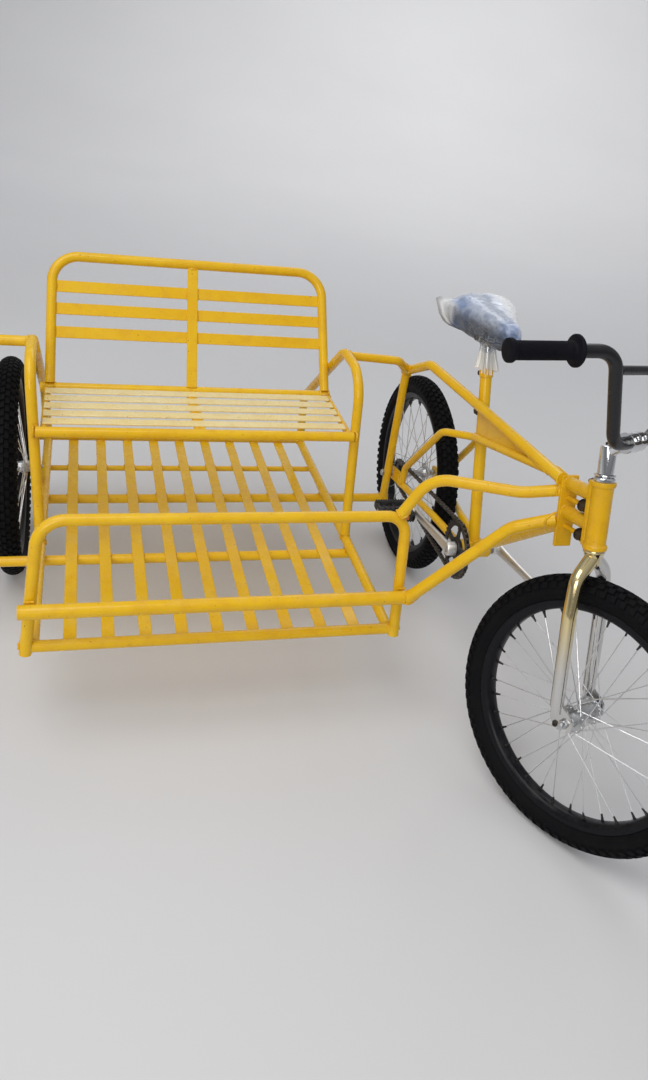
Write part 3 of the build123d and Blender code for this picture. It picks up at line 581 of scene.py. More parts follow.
# ------------------------------------------------------------------ wheels
def tyre(name, M, body):
    geo = G(M)
    rho, rc = 24.2, TYRE_R - 4.6 - 24.2
    prof = [(-13.2, 209.7), (-16.4, 210.6), (-18.6, 213.4), (-21.0, 216.4), (-22.7, 219.4), (-22.5, 220.4), (-23.7, 222.6)]
    for k in range(0, 21):
        a = radians(-84 + 168 * k / 20)
        prof.append((rho * sin(a), rc + rho * cos(a)))
    prof += [(23.7, 222.6), (22.5, 220.4), (22.7, 219.4), (21.0, 216.4), (18.6, 213.4), (16.4, 210.6), (13.2, 209.7)]
    geo.lathe(prof, 180, 0, closed=True)
    pitches = 78
    rows = ((-59, 10.5, 11.0, 0.5, 3.9), (-33, 9.6, 12.0, 0.0, 4.3), (-10.6, 8.2, 13.2, 0.5, 4.6),
            (10.6, 8.2, 13.2, 0.0, 4.6), (33, 9.6, 12.0, 0.5, 4.3), (59, 10.5, 11.0, 0.0, 3.9))
    for k in range(pitches):
        for deg, w, ln, ph, h in rows:
            phi = radians(deg)
            ang = 2 * pi * (k + ph) / pitches
            r_base = rc + rho * cos(phi)
            skew = 0.16 * (1 if deg > 0 else -1)
            verts = []
            for hh, sc in ((-0.8, 1.12), (h * 0.72, 1.0), (h, 0.84)):
                for sx, sy in ((-1, -1), (1, -1), (1, 1), (-1, 1)):
                    u = sx * w / 2 * sc                  # across, along the section
                    t = sy * ln / 2 * sc + skew * u      # around the wheel
                    p2 = phi + u / rho
                    rr = rc + (rho + hh) * cos(p2)
                    a2 = ang + t / r_base
                    verts.append(((rho + hh) * sin(p2), rr * cos(a2), rr * sin(a2)))
            faces = [(i * 4 + a, i * 4 + (a + 1) % 4, i * 4 + 4 + (a + 1) % 4, i * 4 + 4 + a) for i in range(2) for a in range(4)]
            faces.append((8, 9, 10, 11))
            geo.add(verts, faces, 0)
    return make(name + "_tread", geo, [TYRE], body, [name + "_tyre"], 32, fix=False)


def rim(name, M, body):
    geo = G(M)
    prof = [(-17.0, 209.0), (-17.0, 205.6), (-16.4, 201.6), (-15.0, 198.2), (-12.0, 194.8), (-8.0, 192.8), (0, 192.2), (8.0, 192.8), (12.0, 194.8),
            (15.0, 198.2), (16.4, 201.6), (17.0, 205.6), (17.0, 209.0), (15.7, 210.2), (14.3, 209.0), (14.3, 206.0), (-14.3, 206.0), (-14.3, 209.0), (-15.7, 210.2)]
    geo.lathe(prof, 160, 0, closed=True)
    a = radians(185)
    d = Vector((0, -cos(a), -sin(a)))
    geo.solid_lathe([(-1, 4.2), (2.5, 4.2), (3.5, 3.5), (20, 3.1), (20.4, 3.9), (31, 3.9), (32, 3.0)], 14, 1, along(Vector((0, 192.4 * cos(a), 192.4 * sin(a))), d))
    return make(name + "_rim_black", geo, [RIM_BLACK, PLASTIC], body, [name + "_rim"], 30)


def hub(name, half, M, body, sprocket=False, spin=0.0):
    geo = G(M @ Matrix.Rotation(spin, 4, "X"))
    e = half + 14
    prof = [(-e, 4.9), (-e, 9.2), (-e + 1.5, 11.5), (-half - 5, 13.0), (-half - 1.6, 13.6), (-half - 1.5, 24.4), (-half - 0.6, 25.0), (-half + 0.9, 25.0), (-half + 1.5, 24.2),
            (-half + 2.2, 15.6), (-half + 7, 12.8), (-half + 14, 11.2), (0, 10.8),
            (half - 14, 11.2), (half - 7, 12.8), (half - 2.2, 15.6), (half - 1.5, 24.2), (half - 0.9, 25.0), (half + 0.6, 25.0), (half + 1.5, 24.4), (half + 1.6, 13.6),
            (half + 5, 13.0), (e - 1.5, 11.5), (e, 9.2), (e, 4.9)]
    geo.lathe(prof, 48, 0, closed=True)
    per = 18
    for side in (-1, 1):
        for k in range(per):
            a = 2 * pi * (k + (0.5 if side > 0 else 0)) / per
            lean = radians(62) * (1 if k % 2 else -1)
            out = 2.6 if k % 2 else -2.6                      # spokes lie by turns inside and outside the flange
            a0 = a + lean
            p = Vector((side * (half + out), 22 * cos(a0), 22 * sin(a0)))
            hole = Vector((side * half, 21.5 * cos(a0), 21.5 * sin(a0)))
            q = Vector((side * 4, 189.0 * cos(a), 189.0 * sin(a)))
            d = (q - p).normalized()
            geo.tube([hole - Vector((side * out * 0.9, 0, 0)), hole, p, p + d * 6, q], [1.0, 1.0, 1.05, 1.0, 1.0], 6, 1, caps=False)
            geo.solid_lathe([(-1.0, 0.8), (-0.8, 1.9), (0.2, 2.0), (0.9, 1.0)], 8, 1, along(hole - Vector((side * out * 0.75, 0, 0)), (side * (-1 if out > 0 else 1), 0, 0)))
            nq = Vector((side * 3.6, 192.6 * cos(a), 192.6 * sin(a)))
            nd = (nq - q).normalized()
            geo.solid_lathe([(-9.5, 1.35), (-9.3, 1.8), (-3.0, 2.0), (-2.6, 2.4), (0.5, 2.4), (1.2, 3.0), (3.4, 3.0)], 8, 2, along(q, nd))
    mats = [ZINC, SPOKE, DARK, DARK]
    if sprocket:
        teeth = 16
        ring = [(32.3 + (3.6, 1.7, -2.2, -3.6, -2.2, 1.7)[i % 6], 2 * pi * i / (teeth * 6)) for i in range(teeth * 6)]
        gear(geo, ring, -43.3, -40.7, 12.5, 3)
        geo.lathe([(-47, 9.3), (-47, 18.0), (-46, 19.0), (-43.4, 19.0), (-43.4, 21.5), (-38.0, 21.5), (-37.0, 20.5), (-37, 19), (-31.6, 19), (-31.6, 9.3)], 40, 3)
    return make(name + "_hub_spokes", geo, mats, body, [name + "_hub"], 30)


def gear(geo, ring, x0, x1, bore, mat, cy=0.0, cz=0.0):
    """Toothed ring: outline of (radius, angle), thinner at the tooth tips."""
    n = len(ring)
    rmax = max(r for r, a in ring)
    verts = []
    for x, s in ((x0, 1), (x1, -1)):
        verts += [(x + s * (0.5 if r > rmax - 1.5 else 0.0), cy + r * cos(a), cz + r * sin(a)) for r, a in ring]
    verts += [(x, cy + bore * cos(a), cz + bore * sin(a)) for x in (x0, x1) for r, a in ring]
    faces = []
    for i in range(n):
        j = (i + 1) % n
        faces += [(i, j, n + j, n + i), (i, 2 * n + i, 2 * n + j, j), (n + i, n + j, 3 * n + j, 3 * n + i), (2 * n + i, 3 * n + i, 3 * n + j, 2 * n + j)]
    geo.add(verts, faces, mat)


def axle(name, M, body, rod_x, nuts, washers, cones):
    geo = G(M)
    x0, x1 = rod_x
    prof = [(x0, 3.6), (x0 + 0.8, 4.7)]
    n = int((x1 - x0 - 2) / 1.25)
    for i in range(n):
        x = x0 + 1 + i * 1.25
        if x < x0 + 26 or x > x1 - 26:
            prof += [(x, 4.35), (x + 0.62, 4.72)]
    prof += [(x1 - 0.8, 4.7), (x1, 3.6)]
    geo.solid_lathe(prof, 18, 0)
    for a, b in nuts:
        geo.nut(a, b, 15.0, 4.8, 0)
    for a, b in washers:
        geo.lathe([(a, 4.8), (a, 8.8), (b, 8.8), (b, 4.8)], 28, 0)
    for a, b in cones:
        geo.nut(a, b, 14.5, 4.8, 0)
    return make(name + "_axle_nuts", geo, [ZINC], body, [name + "_axle"], 30)


FRONT_M = TURN @ Matrix.Translation(FRONT_HUB0)
REAR_M = Matrix.Translation(REAR_HUB)
SIDE_M = Matrix.Translation(SIDE_HUB)
for nm, M, body, half, spr, spin in (("front", FRONT_M, "front_wheel", 28.0, False, 0.08), ("rear", REAR_M, "rear_wheel", 30.0, True, 0.0),
                                     ("sidecar", SIDE_M, "sidecar_wheel", 28.0, False, 0.05)):
    tyre(nm, M, body)
    rim(nm, M @ Matrix.Rotation(spin, 4, "X"), body)
    hub(nm, half, M, body, spr, spin)
axle("front", FRONT_M, "steering", (-68, 68), ((-62, -56.2), (56.2, 62)), ((-56.1, -54.8), (54.8, 56.1)), ((-49.3, -43.2), (43.2, 49.3)))
axle("rear", REAR_M, "vehicle_frame", (-92, 70), ((-91, -86.8), (62.9, 68)), ((-86.7, -85.7), (61.7, 62.8), (-64.6, -61.8)), ((-56.3, -50.8), (45.6, 56.3)))
axle("sidecar", SIDE_M, "vehicle_frame", (-67.5, 65.5), ((-60, -55.9), (55.9, 60)), ((-55.8, -54.8), (54.8, 55.8)), ((-49.3, -45.2), (45.2, 49.3)))

# ------------------------------------------------------------------ frame tubes
SX = 59.0
XR, XL = -242.0, -921.0
FZ, CZ, FF, FR = 201.0, 179.0, -585.5, 304.0
SZ, SF, SR = 460.0, -225.0, 12.0
CAGE = -1057.0
BTY, BTZ = 149.0, 721.0
TR = 11.0
SEAT_TOP = Vector((0, -287.2, 657.6))
TUBES = {
    "seat_tube": (12.7, None, [BB, SEAT_TOP]),
    "down_tube": (12.0, None, [BB, (0, -727, 532)]),
    "top_tube": (11.0, [200, 50], [(-13, -708, 607), (-25.6, -314, 590), (-64, -132, 603), (-75, -12, 541)]),
    "stay_r": (8.5, [25, 60, 90], [(-SX, -76, 266), (-SX, -80, 308), (-54, -246, 487), (-21.5, -336, 517), (-16, -668, 605)]),
    "stay_l": (8.5, [25, 60, 90], [(SX, -76, 266), (SX, -80, 308), (54, -246, 487), (21.5, -336, 517), (-8, -668, 604.5)]),
    "upper_link_tube": (11.0, [75, 150], [(-245, -551, 447), (-200, -560.5, 534.6), (-63, -664, 558.7), (-14, -701, 583.5)]),
    "lower_link_tube": (12.0, [60], [(-232, -603, 276), (-80, -686.6, 497.8), (-14, -722, 536)]),
    "side_stay": (10.0, None, [(-75, -1, 176), (-75, -12, 541)]),
    "arm_link_tube": (10.0, [25], [(-245, -73, 595), (-122, -73, 588), (-78, -22, 545)]),
    "axle_bar": (TR, None, [(XL - TR, 0, CZ), (-64, 0, CZ)]),
    "edge_r": (TR, None, [(XR, FF, FZ), (XR, FR, FZ)]),
    "edge_l": (TR, None, [(XL, FF, FZ), (XL, FR, FZ)]),
    "front_cross": (TR, None, [(XL - TR, FF - 0.5, FZ), (XR + TR, FF - 0.5, FZ)]),
    "cross_1": (TR, None, [(CAGE, -268, CZ), (XR + TR, -268, CZ)]),
    "rear_bar": (7.0, None, [(XL - TR, 154, CZ + 4), (XR + TR, 154, CZ + 4)]),
    "rear_cross": (TR, None, [(CAGE - TR, FR, FZ), (XR + TR, FR, FZ)]),
    "guard_hoop": (TR, [52, 40], [(-934, -594, 190), (-907, -551, 445), (-231, -551, 445), (-231, -594, 190)]),
    "guard_lower_rail": (13.5, None, [(-943, -604, 290), (-222, -604, 290)]),
    "seat_front": (TR, None, [(-924, SF, SZ), (-254, SF, SZ)]),
    "seat_rear": (TR, None, [(-927, SR, SZ), (-254, SR, SZ)]),
    "arm_r": (TR, [75, 75, 40], [(-244, -234, 212.2), (-250, -197, 597), (-250, -52, 597), (-250, 272, 348), (-244, 284, 212.2)]),
    "arm_l": (TR, [75, 75, 40], [(-921, -234, 212.2), (-933, -197, 597), (-933, -52, 597), (-926, 272, 348), (-921, 284, 212.2)]),
    "back": (TR, [60, 60], [(-903, SR, 471), (-896, BTY, BTZ), (-276, BTY, BTZ), (-269, SR, 471)]),
    "cage_side": (TR, None, [(CAGE, -280, FZ), (CAGE, FR - TR + 2, FZ)]),
    "cage_hoop": (TR, [45], [(-937, -72, 596), (CAGE, -72, 596), (CAGE, -72, FZ + TR - 2)]),
}


def route(name):
    r, bends, pts = TUBES[name]
    return r, (rounded(pts, bends, 5.0) if bends else [Vector(p) for p in pts])


def frames(pts):
    """Point, tangent and two square directions at each point of a route, without twist."""
    pts = [Vector(p) for p in pts]
    n, out, e = len(pts), [], None
    for i in range(n):
        t = (pts[min(i + 1, n - 1)] - pts[max(i - 1, 0)]).normalized()
        if e is None:
            e = Vector((0, 0, 1)) if abs(t.z) < 0.9 else Vector((1, 0, 0))
        e = (e - t * e.dot(t)).normalized()
        out.append((pts[i], t, e, t.cross(e)))
    return out


def circle(f, r, seg, shift=0.0):
    p, t, e, w = f
    return [p + t * shift + e * (r * cos(2 * pi * k / seg)) + w * (r * sin(2 * pi * k / seg)) for k in range(seg)]


def pipe(geo, pts, r, mat=0, hollow=(0, 0), seg=30, wall=1.7, deep=40.0, inner=2):
    """Tube skin.  A hollow end shows the wall's edge and the dark inside."""
    fr = frames(pts)
    n = len(fr)
    rr = list(r) if isinstance(r, (list, tuple)) else [r] * n
    rings = [circle(f, q, seg) for f, q in zip(fr, rr)]
    for end, i, s in ((0, 0, 1), (1, n - 1, -1)):
        if hollow[end]:
            f, q = fr[i], rr[i]
            lip = [circle(f, q, seg, s * 0.4), circle(f, q - 0.4, seg), circle(f, q - wall, seg), circle(f, q - wall, seg, s * 0.4)]
            bore = [circle(f, q - wall, seg, s * 0.4), circle(f, q - wall, seg, s * deep)]
            geo.rings(lip, mat, caps=False)
            geo.rings(bore, inner, caps=False)
            geo.add(bore[1], [tuple(range(seg))], inner)
            rings[i] = circle(f, q, seg, s * 0.4)
    geo.rings(rings, mat, caps=False)
    for end, i in ((0, 0), (1, n - 1)):
        if not hollow[end]:
            geo.add(rings[i], [tuple(range(seg))], mat)


def ripple(n, r, seed):
    """Radii along a weld: overlapping drops of uneven size."""
    return [r * (1 + 0.15 * sin(2 * pi * k / 4.0) + 0.22 * noise.noise(Vector((k * 0.31, seed * 1.7, 0)))) for k in range(n)]


def bead(geo, P, d, ra, Q, e, rb, mat=1, r=2.4, seed=0.0, lift=0.0):
    """Weld where a tube of radius ra, running along d past P, meets a tube of radius rb along e through Q."""
    P, Q, d, e = Vector(P), Vector(Q), Vector(d).normalized(), Vector(e).normalized()
    ref = Vector((0, 0, 1)) if abs(d.z) < 0.9 else Vector((1, 0, 0))
    e1 = (ref - d * ref.dot(d)).normalized()
    e2 = d.cross(e1)
    dp = d - e * d.dot(e)
    A = dp.dot(dp)
    n = max(28, int(2 * pi * ra / 1.7) // 4 * 4)
    pts = []
    for k in range(n):
        a = 2 * pi * k / n
        S = P + e1 * (ra * cos(a)) + e2 * (ra * sin(a))
        w = S - Q
        w = w - e * w.dot(e)
        B = w.dot(dp)
        D = B * B - A * (w.dot(w) - rb * rb)
        t = (-B - sqrt(D)) / A if D > 0 else -B / A
        pts.append(S + d * (t - lift))
    geo.tube(pts, ripple(n, r, seed), 8, mat, closed=True)


def bead_flat(geo, P, d, ra, Q, nrm, mat=1, r=2.4, seed=0.0):
    """Weld where a tube meets a plate: the plate's face goes through Q, square to nrm."""
    P, Q, d, nrm = Vector(P), Vector(Q), Vector(d).normalized(), Vector(nrm).normalized()
    ref = Vector((0, 0, 1)) if abs(d.z) < 0.9 else Vector((1, 0, 0))
    e1 = (ref - d * ref.dot(d)).normalized()
    e2 = d.cross(e1)
    n = max(28, int(2 * pi * ra / 1.7) // 4 * 4)
    pts = []
    for k in range(n):
        a = 2 * pi * k / n
        S = P + e1 * (ra * cos(a)) + e2 * (ra * sin(a))
        pts.append(S + d * ((Q - S).dot(nrm) / d.dot(nrm)))
    geo.tube(pts, ripple(n, r, seed), 8, mat, closed=True)


def seam_bead(geo, pts, mat=1, r=2.2, seed=0.0):
    pts = [Vector(p) for p in pts]
    out = []
    for a, b in zip(pts, pts[1:]):
        n = max(2, int((b - a).length / 1.7))
        out += [a.lerp(b, k / n) for k in range(n)]
    out.append(pts[-1])
    geo.tube(out, ripple(len(out), r, seed), 8, mat)


def dab(geo, p, u, nrm, a=6.0, b=3.0, c=2.0, mat=1):
    """Short weld: half-buried drop, long along u, standing along nrm."""
    u, nrm = Vector(u).normalized(), Vector(nrm).normalized()
    w = u.cross(nrm)
    rings = []
    for i in range(1, 8):
        f = pi * i / 8
        k = 1 + 0.14 * sin(i * 2.4)
        rings.append([Vector(p) + u * (-a * cos(f)) + w * (b * sin(f) * k * cos(2 * pi * j / 10)) + nrm * (c * sin(f) * k * sin(2 * pi * j / 10)) for j in range(10)])
    geo.rings(rings, mat)


def flat(geo, p, q, side, width, thick, mat=0, ch=0.8, nseg=1):
    """Flat bar from p to q, its width along side, with eased edges."""
    p, q = Vector(p), Vector(q)
    d = (q - p).normalized()
    L = (q - p).length
    geo.box((-L / 2, -width / 2, -thick / 2), (L / 2, width / 2, thick / 2), mat, along((p + q) / 2, d, side), ch=ch)


def frame_piece(name, geo, nodes, sharp=34, mats=None):
    return make(name, geo, mats or [YELLOW, WELD, INSIDE, BOLT], "vehicle_frame", nodes, sharp)


HP = Matrix(((1, 0, 0), tuple(-FORWARD), tuple(HEAD_A))).transposed().to_4x4()
HP.translation = HEAD_TOP                 # x sideways, y behind the head axis, z along it
FLANGE_P = HP @ Vector((0, 111.1, -80))
FLANGE_N = -FORWARD
HEAD_LEN = (HEAD_TOP - HEAD_BOT).length

# head tube with its coupling plate and two spacers
geo = G()
Hm = along(HEAD_BOT, HEAD_A)
geo.lathe([(0, 12.9), (0, 19.6), (0.8, 20.8), (2.4, 21.0), (6.0, 21.0), (8.2, 20.2), (9.6, 18.5), (12, 18.0), (HEAD_LEN - 12, 18.0), (HEAD_LEN - 9.6, 18.5),
           (HEAD_LEN - 8.2, 20.2), (HEAD_LEN - 6, 21.0), (HEAD_LEN - 2.4, 21.0), (HEAD_LEN - 0.8, 20.8), (HEAD_LEN, 19.6), (HEAD_LEN, 12.9)], 64, 0, True, Hm)
hp_box = lambda x, y0, y1, z0, z1, mat=0, ch=1.2: geo.box((-x, y0, z0), (x, y1, z1), mat, HP, ch)
hp_box(15.5, 14, 23, -HEAD_LEN + 2, -2)
for sx in (-1, 1):
    seam_bead(geo, [HP @ Vector((sx * 13.2, 13.2, -HEAD_LEN + 11)), HP @ Vector((sx * 13.2, 13.2, -11))], r=2.2, seed=sx)
for up in (-30.0, -82.0):
    pipe(geo, [HP @ Vector((0, 22, up)), HP @ Vector((0, 102.9, up))], 13, seg=36)
    bead_flat(geo, HP @ Vector((0, 60, up)), FORWARD, 13, HP @ Vector((0, 23, 0)), FORWARD, seed=up)
    bead_flat(geo, HP @ Vector((0, 60, up)), -FORWARD, 13, HP @ Vector((0, 102.6, 0)), FORWARD, r=1.9, seed=up + 1)
# The head tube and its spacers take the darker enamel copy: painted shade.
frame_piece("head_tube_welded", geo, ["head_tube"], mats=[SHADED_ENAMEL, WELD, INSIDE, BOLT])

# plate welded to the bicycle's frame, and the three bolts of the coupling
geo = G()
geo.box((-16.6, 103.05, -147), (16.6, 111, -15), 0, HP, 1.3)
for up in (-56.0, -108.5):
    Mu = HP @ Matrix(((0, 1, 0, 0), (1, 0, 0, 0), (0, 0, 1, up), (0, 0, 0, 1)))
    geo.solid_lathe([(23.5, 4.8), (103, 4.8)], 20, 0, Mu)
    geo.nut(35.0, 52.0, 20.0, 5.0, 3, Mu)
    geo.lathe([(52.2, 5.0), (52.2, 11.4), (54.2, 11.4), (54.2, 5.0)], 28, 3, True, Mu)
    geo.lathe([(32.8, 5.0), (32.8, 11.4), (34.8, 11.4), (34.8, 5.0)], 28, 3, True, Mu)
    geo.nut(111.3, 118.5, 16.0, 4.0, 3, Mu)
Mu = HP @ Matrix(((0, 1, 0, 0), (1, 0, 0, 0), (0, 0, 1, -9.0), (0, 0, 0, 1)))
geo.solid_lathe([(23.2, 4.0), (42, 4.0), (42.8, 3.2)], 20, 3, Mu)
geo.nut(25.0, 36.0, 13.0, 4.0, 3, Mu)
# The plate and the bolt shafts take the darker enamel copy: painted shade.
frame_piece("frame_flange_bolted", geo, ["frame_flange"], mats=[SHADED_ENAMEL, WELD, INSIDE, BOLT])

# seat tube with the crank shell
geo = G()
geo.lathe([(-34, 9.3), (-34, 20.4), (-33.3, 21), (33.3, 21), (34, 20.4), (34, 9.3)], 60, 0, True, Matrix.Translation(BB))
for sx in (-1, 1):
    geo.lathe([(sx * 33.9, 9.4), (sx * 33.9, 19.4), (sx * 35.6, 19.0), (sx * 36.0, 17.6), (sx * 36.0, 9.4)], 48, 3, True, Matrix.Translation(BB))
st_d = (SEAT_TOP - BB).normalized()
pipe(geo, [BB + st_d * 12, SEAT_TOP], 12.7, hollow=(0, 1), seg=40, wall=1.4, deep=12)
bead(geo, BB + st_d * 60, -st_d, 12.7, BB, (1, 0, 0), 21, seed=2)
# clamp collar with its bolt
Mc = along(SEAT_TOP - st_d * 19, st_d, (1, 0, 0))
geo.lathe([(0, 12.8), (0, 14.4), (0.7, 15.0), (14.3, 15.0), (15, 14.4), (15, 12.8)], 48, 0, True, Mc)
back_dir = Vector((0, st_d.z, -st_d.y)) * 1.0
for sx in (-1, 1):
    geo.box((1.2, sx * 3.4 - 1.5, 13.6), (13.8, sx * 3.4 + 1.5, 23.4), 0, Mc, 0.6)
geo.solid_lathe([(-9.5, 3.0), (11, 3.0), (11.4, 2.4)], 16, 3, Mc @ Matrix.Translation((7.5, 0, 18.9)) @ Matrix.Rotation(pi / 2, 4, "Z"))
geo.nut(-9.8, -5.2, 10.0, 3.0, 3, Mc @ Matrix.Translation((7.5, 0, 18.9)) @ Matrix.Rotation(pi / 2, 4, "Z"))
geo.solid_lathe([(5.2, 4.6), (9.4, 4.6), (10, 4.0)], 6, 3, Mc @ Matrix.Translation((7.5, 0, 18.9)) @ Matrix.Rotation(pi / 2, 4, "Z"))
# tie bolt through the seat tube, just under the top tube
Mk = along(Vector((0, -318.5, 564)), (-0.62, 0.78, 0.05))
geo.solid_lathe([(9, 3.0), (23.4, 3.0), (23.9, 2.4)], 16, 3, Mk)
geo.lathe([(12.6, 3.1), (12.6, 8.6), (14.2, 8.6), (14.2, 3.1)], 26, 3, True, Mk)
geo.nut(14.3, 20.8, 13.0, 3.0, 3, Mk)
frame_piece("seat_tube_welded", geo, ["seat_tube"])

# down tube
geo = G()
r, pts = route("down_tube")
dd = (pts[1] - pts[0]).normalized()
end = pts[0] + dd * ((FLANGE_P - pts[0]).dot(FLANGE_N) / dd.dot(FLANGE_N))
pipe(geo, [BB + dd * 14, end], r, seg=40)
bead(geo, BB + dd * 70, -dd, r, BB, (1, 0, 0), 21, seed=3)
bead_flat(geo, pts[1], dd, r, FLANGE_P, FLANGE_N, seed=4)
frame_piece("down_tube_welded", geo, ["down_tube"])


def to_flange(pts):
    """Runs the last stretch of a route onto the plate."""
    d = (pts[-1] - pts[-2]).normalized()
    return pts[:-1] + [pts[-2] + d * ((FLANGE_P - pts[-2]).dot(FLANGE_N) / d.dot(FLANGE_N))], d


# top tube that runs on to the side stay, with its gusset
geo = G()
r, pts = route("top_tube")
pts = pts[::-1]
pts, d = to_flange(pts)
pipe(geo, pts, r, seg=32)
bead_flat(geo, pts[-2], d, r, FLANGE_P, FLANGE_N, seed=5)
d0 = (pts[0] - pts[1]).normalized()
bead(geo, pts[1], d0, r, (-75, -12, 500), (0, 0.03, 1), 10, seed=6)
gus = [(-326.5, 588), (-344.5, 524), (-560, 582), (-560, 592)]
geo.prism(gus, -16.8, -12.8, 0)
seam_bead(geo, [(-15.6, -326.5, 580), (-15.6, -344, 527)], r=2.1, seed=7)
seam_bead(geo, [(-16.9, -346, 526.5), (-16.9, -556, 583.4)], r=2.0, seed=8)
seam_bead(geo, [(-17.2, -334, 581.6), (-17.2, -556, 588.4)], r=2.0, seed=27)
for y, z in ((-322, 583.5), (-316, 585)):
    dab(geo, (-14.0, y, z), (0, 1, 0), (0.6, 0, -0.8), 7, 4, 3)
frame_piece("top_tube_welded", geo, ["top_tube"])

# the two upper stays
geo = G()
for k, nm in enumerate(("stay_r", "stay_l")):
    r, pts = route(nm)
    pipe(geo, pts, r, seg=28)
    d = (pts[-1] - pts[-2]).normalized()
    bead(geo, pts[-1] - d * 120, d, r, (-25.6, -314, 590), (12.6, -394, 17), 11, r=2.0, seed=9 + k)
    sx = -1 if k == 0 else 1
    for dz in (-5, 5):
        seam_bead(geo, [(sx * 13.6, -347, 519.5 + dz * 1.2), (sx * 13.6, -327, 515 + dz * 1.2)], r=2.2, seed=k + dz)
    seam_bead(geo, [(sx * (SX + 6.5), -83, 264), (sx * (SX + 7.5), -70, 266), (sx * (SX + 6.5), -64, 275)], r=2.0, seed=13 + k)
frame_piece("seat_stays_welded", geo, ["seat_stays"])

# link tubes from the sidecar to the bicycle
geo = G()
r, pts = route("upper_link_tube")
pts, d = to_flange(pts)
pipe(geo, pts, r, seg=32)
bead_flat(geo, pts[-2], d, r, FLANGE_P, FLANGE_N, seed=15)
d0 = (pts[0] - pts[1]).normalized()
bead(geo, pts[0] - d0 * 26, d0, r, (-300, -551, 445), (1, 0, 0), 11, seed=16)
frame_piece("upper_link_welded", geo, ["upper_link_tube"])
geo = G()
r, pts = route("lower_link_tube")
pts, d = to_flange(pts)
d0 = (pts[0] - pts[1]).normalized()
pts[0] = pts[0] - d0 * 16
pipe(geo, pts, r, seg=32)
bead_flat(geo, pts[-2], d, r, FLANGE_P, FLANGE_N, seed=17)
bead(geo, pts[0] - d0 * 40, d0, r, (-235, -604, 290), (1, 0, 0), 13.5, seed=18)
frame_piece("lower_link_welded", geo, ["lower_link_tube"])

# chain stays with the dropout plates
geo = G()
for side in (-1, 1):
    pts = rounded([(side * SX, -66, 257), (side * 36, -250, 268), (side * 24, -408, 277)], [160], 6)
    n = len(pts)
    pipe(geo, pts, [8.2 + 0.8 * min(1, i / (n * 0.4)) for i in range(n)], seg=26)
    dl = (pts[-1] - pts[-2]).normalized()
    bead(geo, pts[-1] - dl * 60, dl, 9, BB, (1, 0, 0), 21, seed=20 + side)
    x = side * SX
    out = [(-72, 248), (-70, 276), (-60, 283), (-30, 277), (2, 272), (13, 268), (18, 262), (18, 246), (13, 240), (2, 237), (-30, 243), (-62, 247)]
    geo.prism(out, x - 2.5, x + 2.5, 0)
    seam_bead(geo, [(x + side * 3, -66, 266), (x + side * 5, -76, 258), (x + side * 3, -66, 249)], r=2.0, seed=22 + side)
frame_piece("chain_stays_welded", geo, ["chain_stays"])

# side stay and the tube to the armrest
geo = G()
pipe(geo, [(-75, -1, 169), (-75, -11.6, 531)], 10, hollow=(1, 0), seg=30)
bead(geo, (-75, -3, 240), (0, 0.03, -1), 10, (-75, 0, CZ), (1, 0, 0), 11, seed=24)
frame_piece("side_stay_welded", geo, ["side_stay"])
geo = G()
r, pts = route("arm_link_tube")
pipe(geo, pts, r, seg=30)
bead(geo, pts[0] + Vector((50, 0, -2)), (-1, 0, 0.056), r, (-250, -73, 597), (0, 1, 0), 11, seed=25)
dl = (pts[-1] - pts[-2]).normalized()
bead(geo, pts[-1] - dl * 40, dl, r, (-75, -12, 541), (0.16, 0.5, -0.85), 10.5, seed=26)
frame_piece("arm_link_welded", geo, ["arm_link_tube"])

# ------------------------------------------------------------------ sidecar
geo = G()
pipe(geo, [(XL - TR, 0, CZ), (-64, 0, CZ)], TR, hollow=(1, 1), seg=32)
for x in (XL, XR):
    for s in (-1, 1):
        seam_bead(geo, [(x - 9, s * 7.5, CZ + 9.5), (x + 9, s * 7.5, CZ + 9.5)], r=2.2, seed=x + s)
frame_piece("axle_bar_welded", geo, ["axle_bar"])
geo = G()
pipe(geo, route("rear_bar")[1], 7.0, hollow=(1, 1), seg=24, wall=1.3)
for x in (XL, XR):
    for s in (-1, 1):
        seam_bead(geo, [(x - 6, 154 + s * 5.5, CZ + 10.5), (x + 6, 154 + s * 5.5, CZ + 10.5)], r=1.8, seed=x + s)
frame_piece("rear_floor_bar_welded", geo, ["rear_floor_bar"])

geo = G()
for nm, hol in (("front_cross", (1, 1)), ("cross_1", (0, 1)), ("rear_cross", (1, 1))):
    pipe(geo, route(nm)[1], TR, hollow=hol, seg=32)
for x in (XR, XL):
    pipe(geo, [(x, FF + 8, FZ), (x, FR - 8, FZ)], TR, seg=32)
    bead(geo, (x, FF + 40, FZ), (0, -1, 0), TR, (x, FF - 0.5, FZ), (1, 0, 0), TR, seed=x)
    bead(geo, (x, FR - 40, FZ), (0, 1, 0), TR, (x, FR, FZ), (1, 0, 0), TR, seed=x + 3)
    for s in (-1, 1):
        seam_bead(geo, [(x - 9, -268 + s * 7.5, CZ + 9.5), (x + 9, -268 + s * 7.5, CZ + 9.5)], r=2.2, seed=x + s + 5)
frame_piece("floor_frame_welded", geo, ["floor_frame"])

# floor slats with a short weld at each side of each cross tube
geo = G()
MIDX = (XL + XR) / 2
for k in range(9):
    x = MIDX + (k - 4) * 69.0
    z = CZ + TR + 2.1
    flat(geo, (x, FF + 10, z), (x, FR - 9.6, z), (1, 0, 0), 24.0, 4.0, 0, 0.9)
    for y in (-268, 0, 154):
        for s in (-1, 1):
            dab(geo, (x + s * 12.2, y + 1.5 * noise.noise(Vector((x, y, 0))), z - 1.8), (0, 1, 0), (s, 0, 0.35), 7.5, 2.4, 2.2)
    for y in (FF + 11.5, FR - 10.5):
        dab(geo, (x, y, z + 1.6), (1, 0, 0), (0, 0.5 if y < 0 else -0.5, 1), 9.5, 2.8, 2.2)
frame_piece("floor_slats_welded", geo, ["floor_slats"])

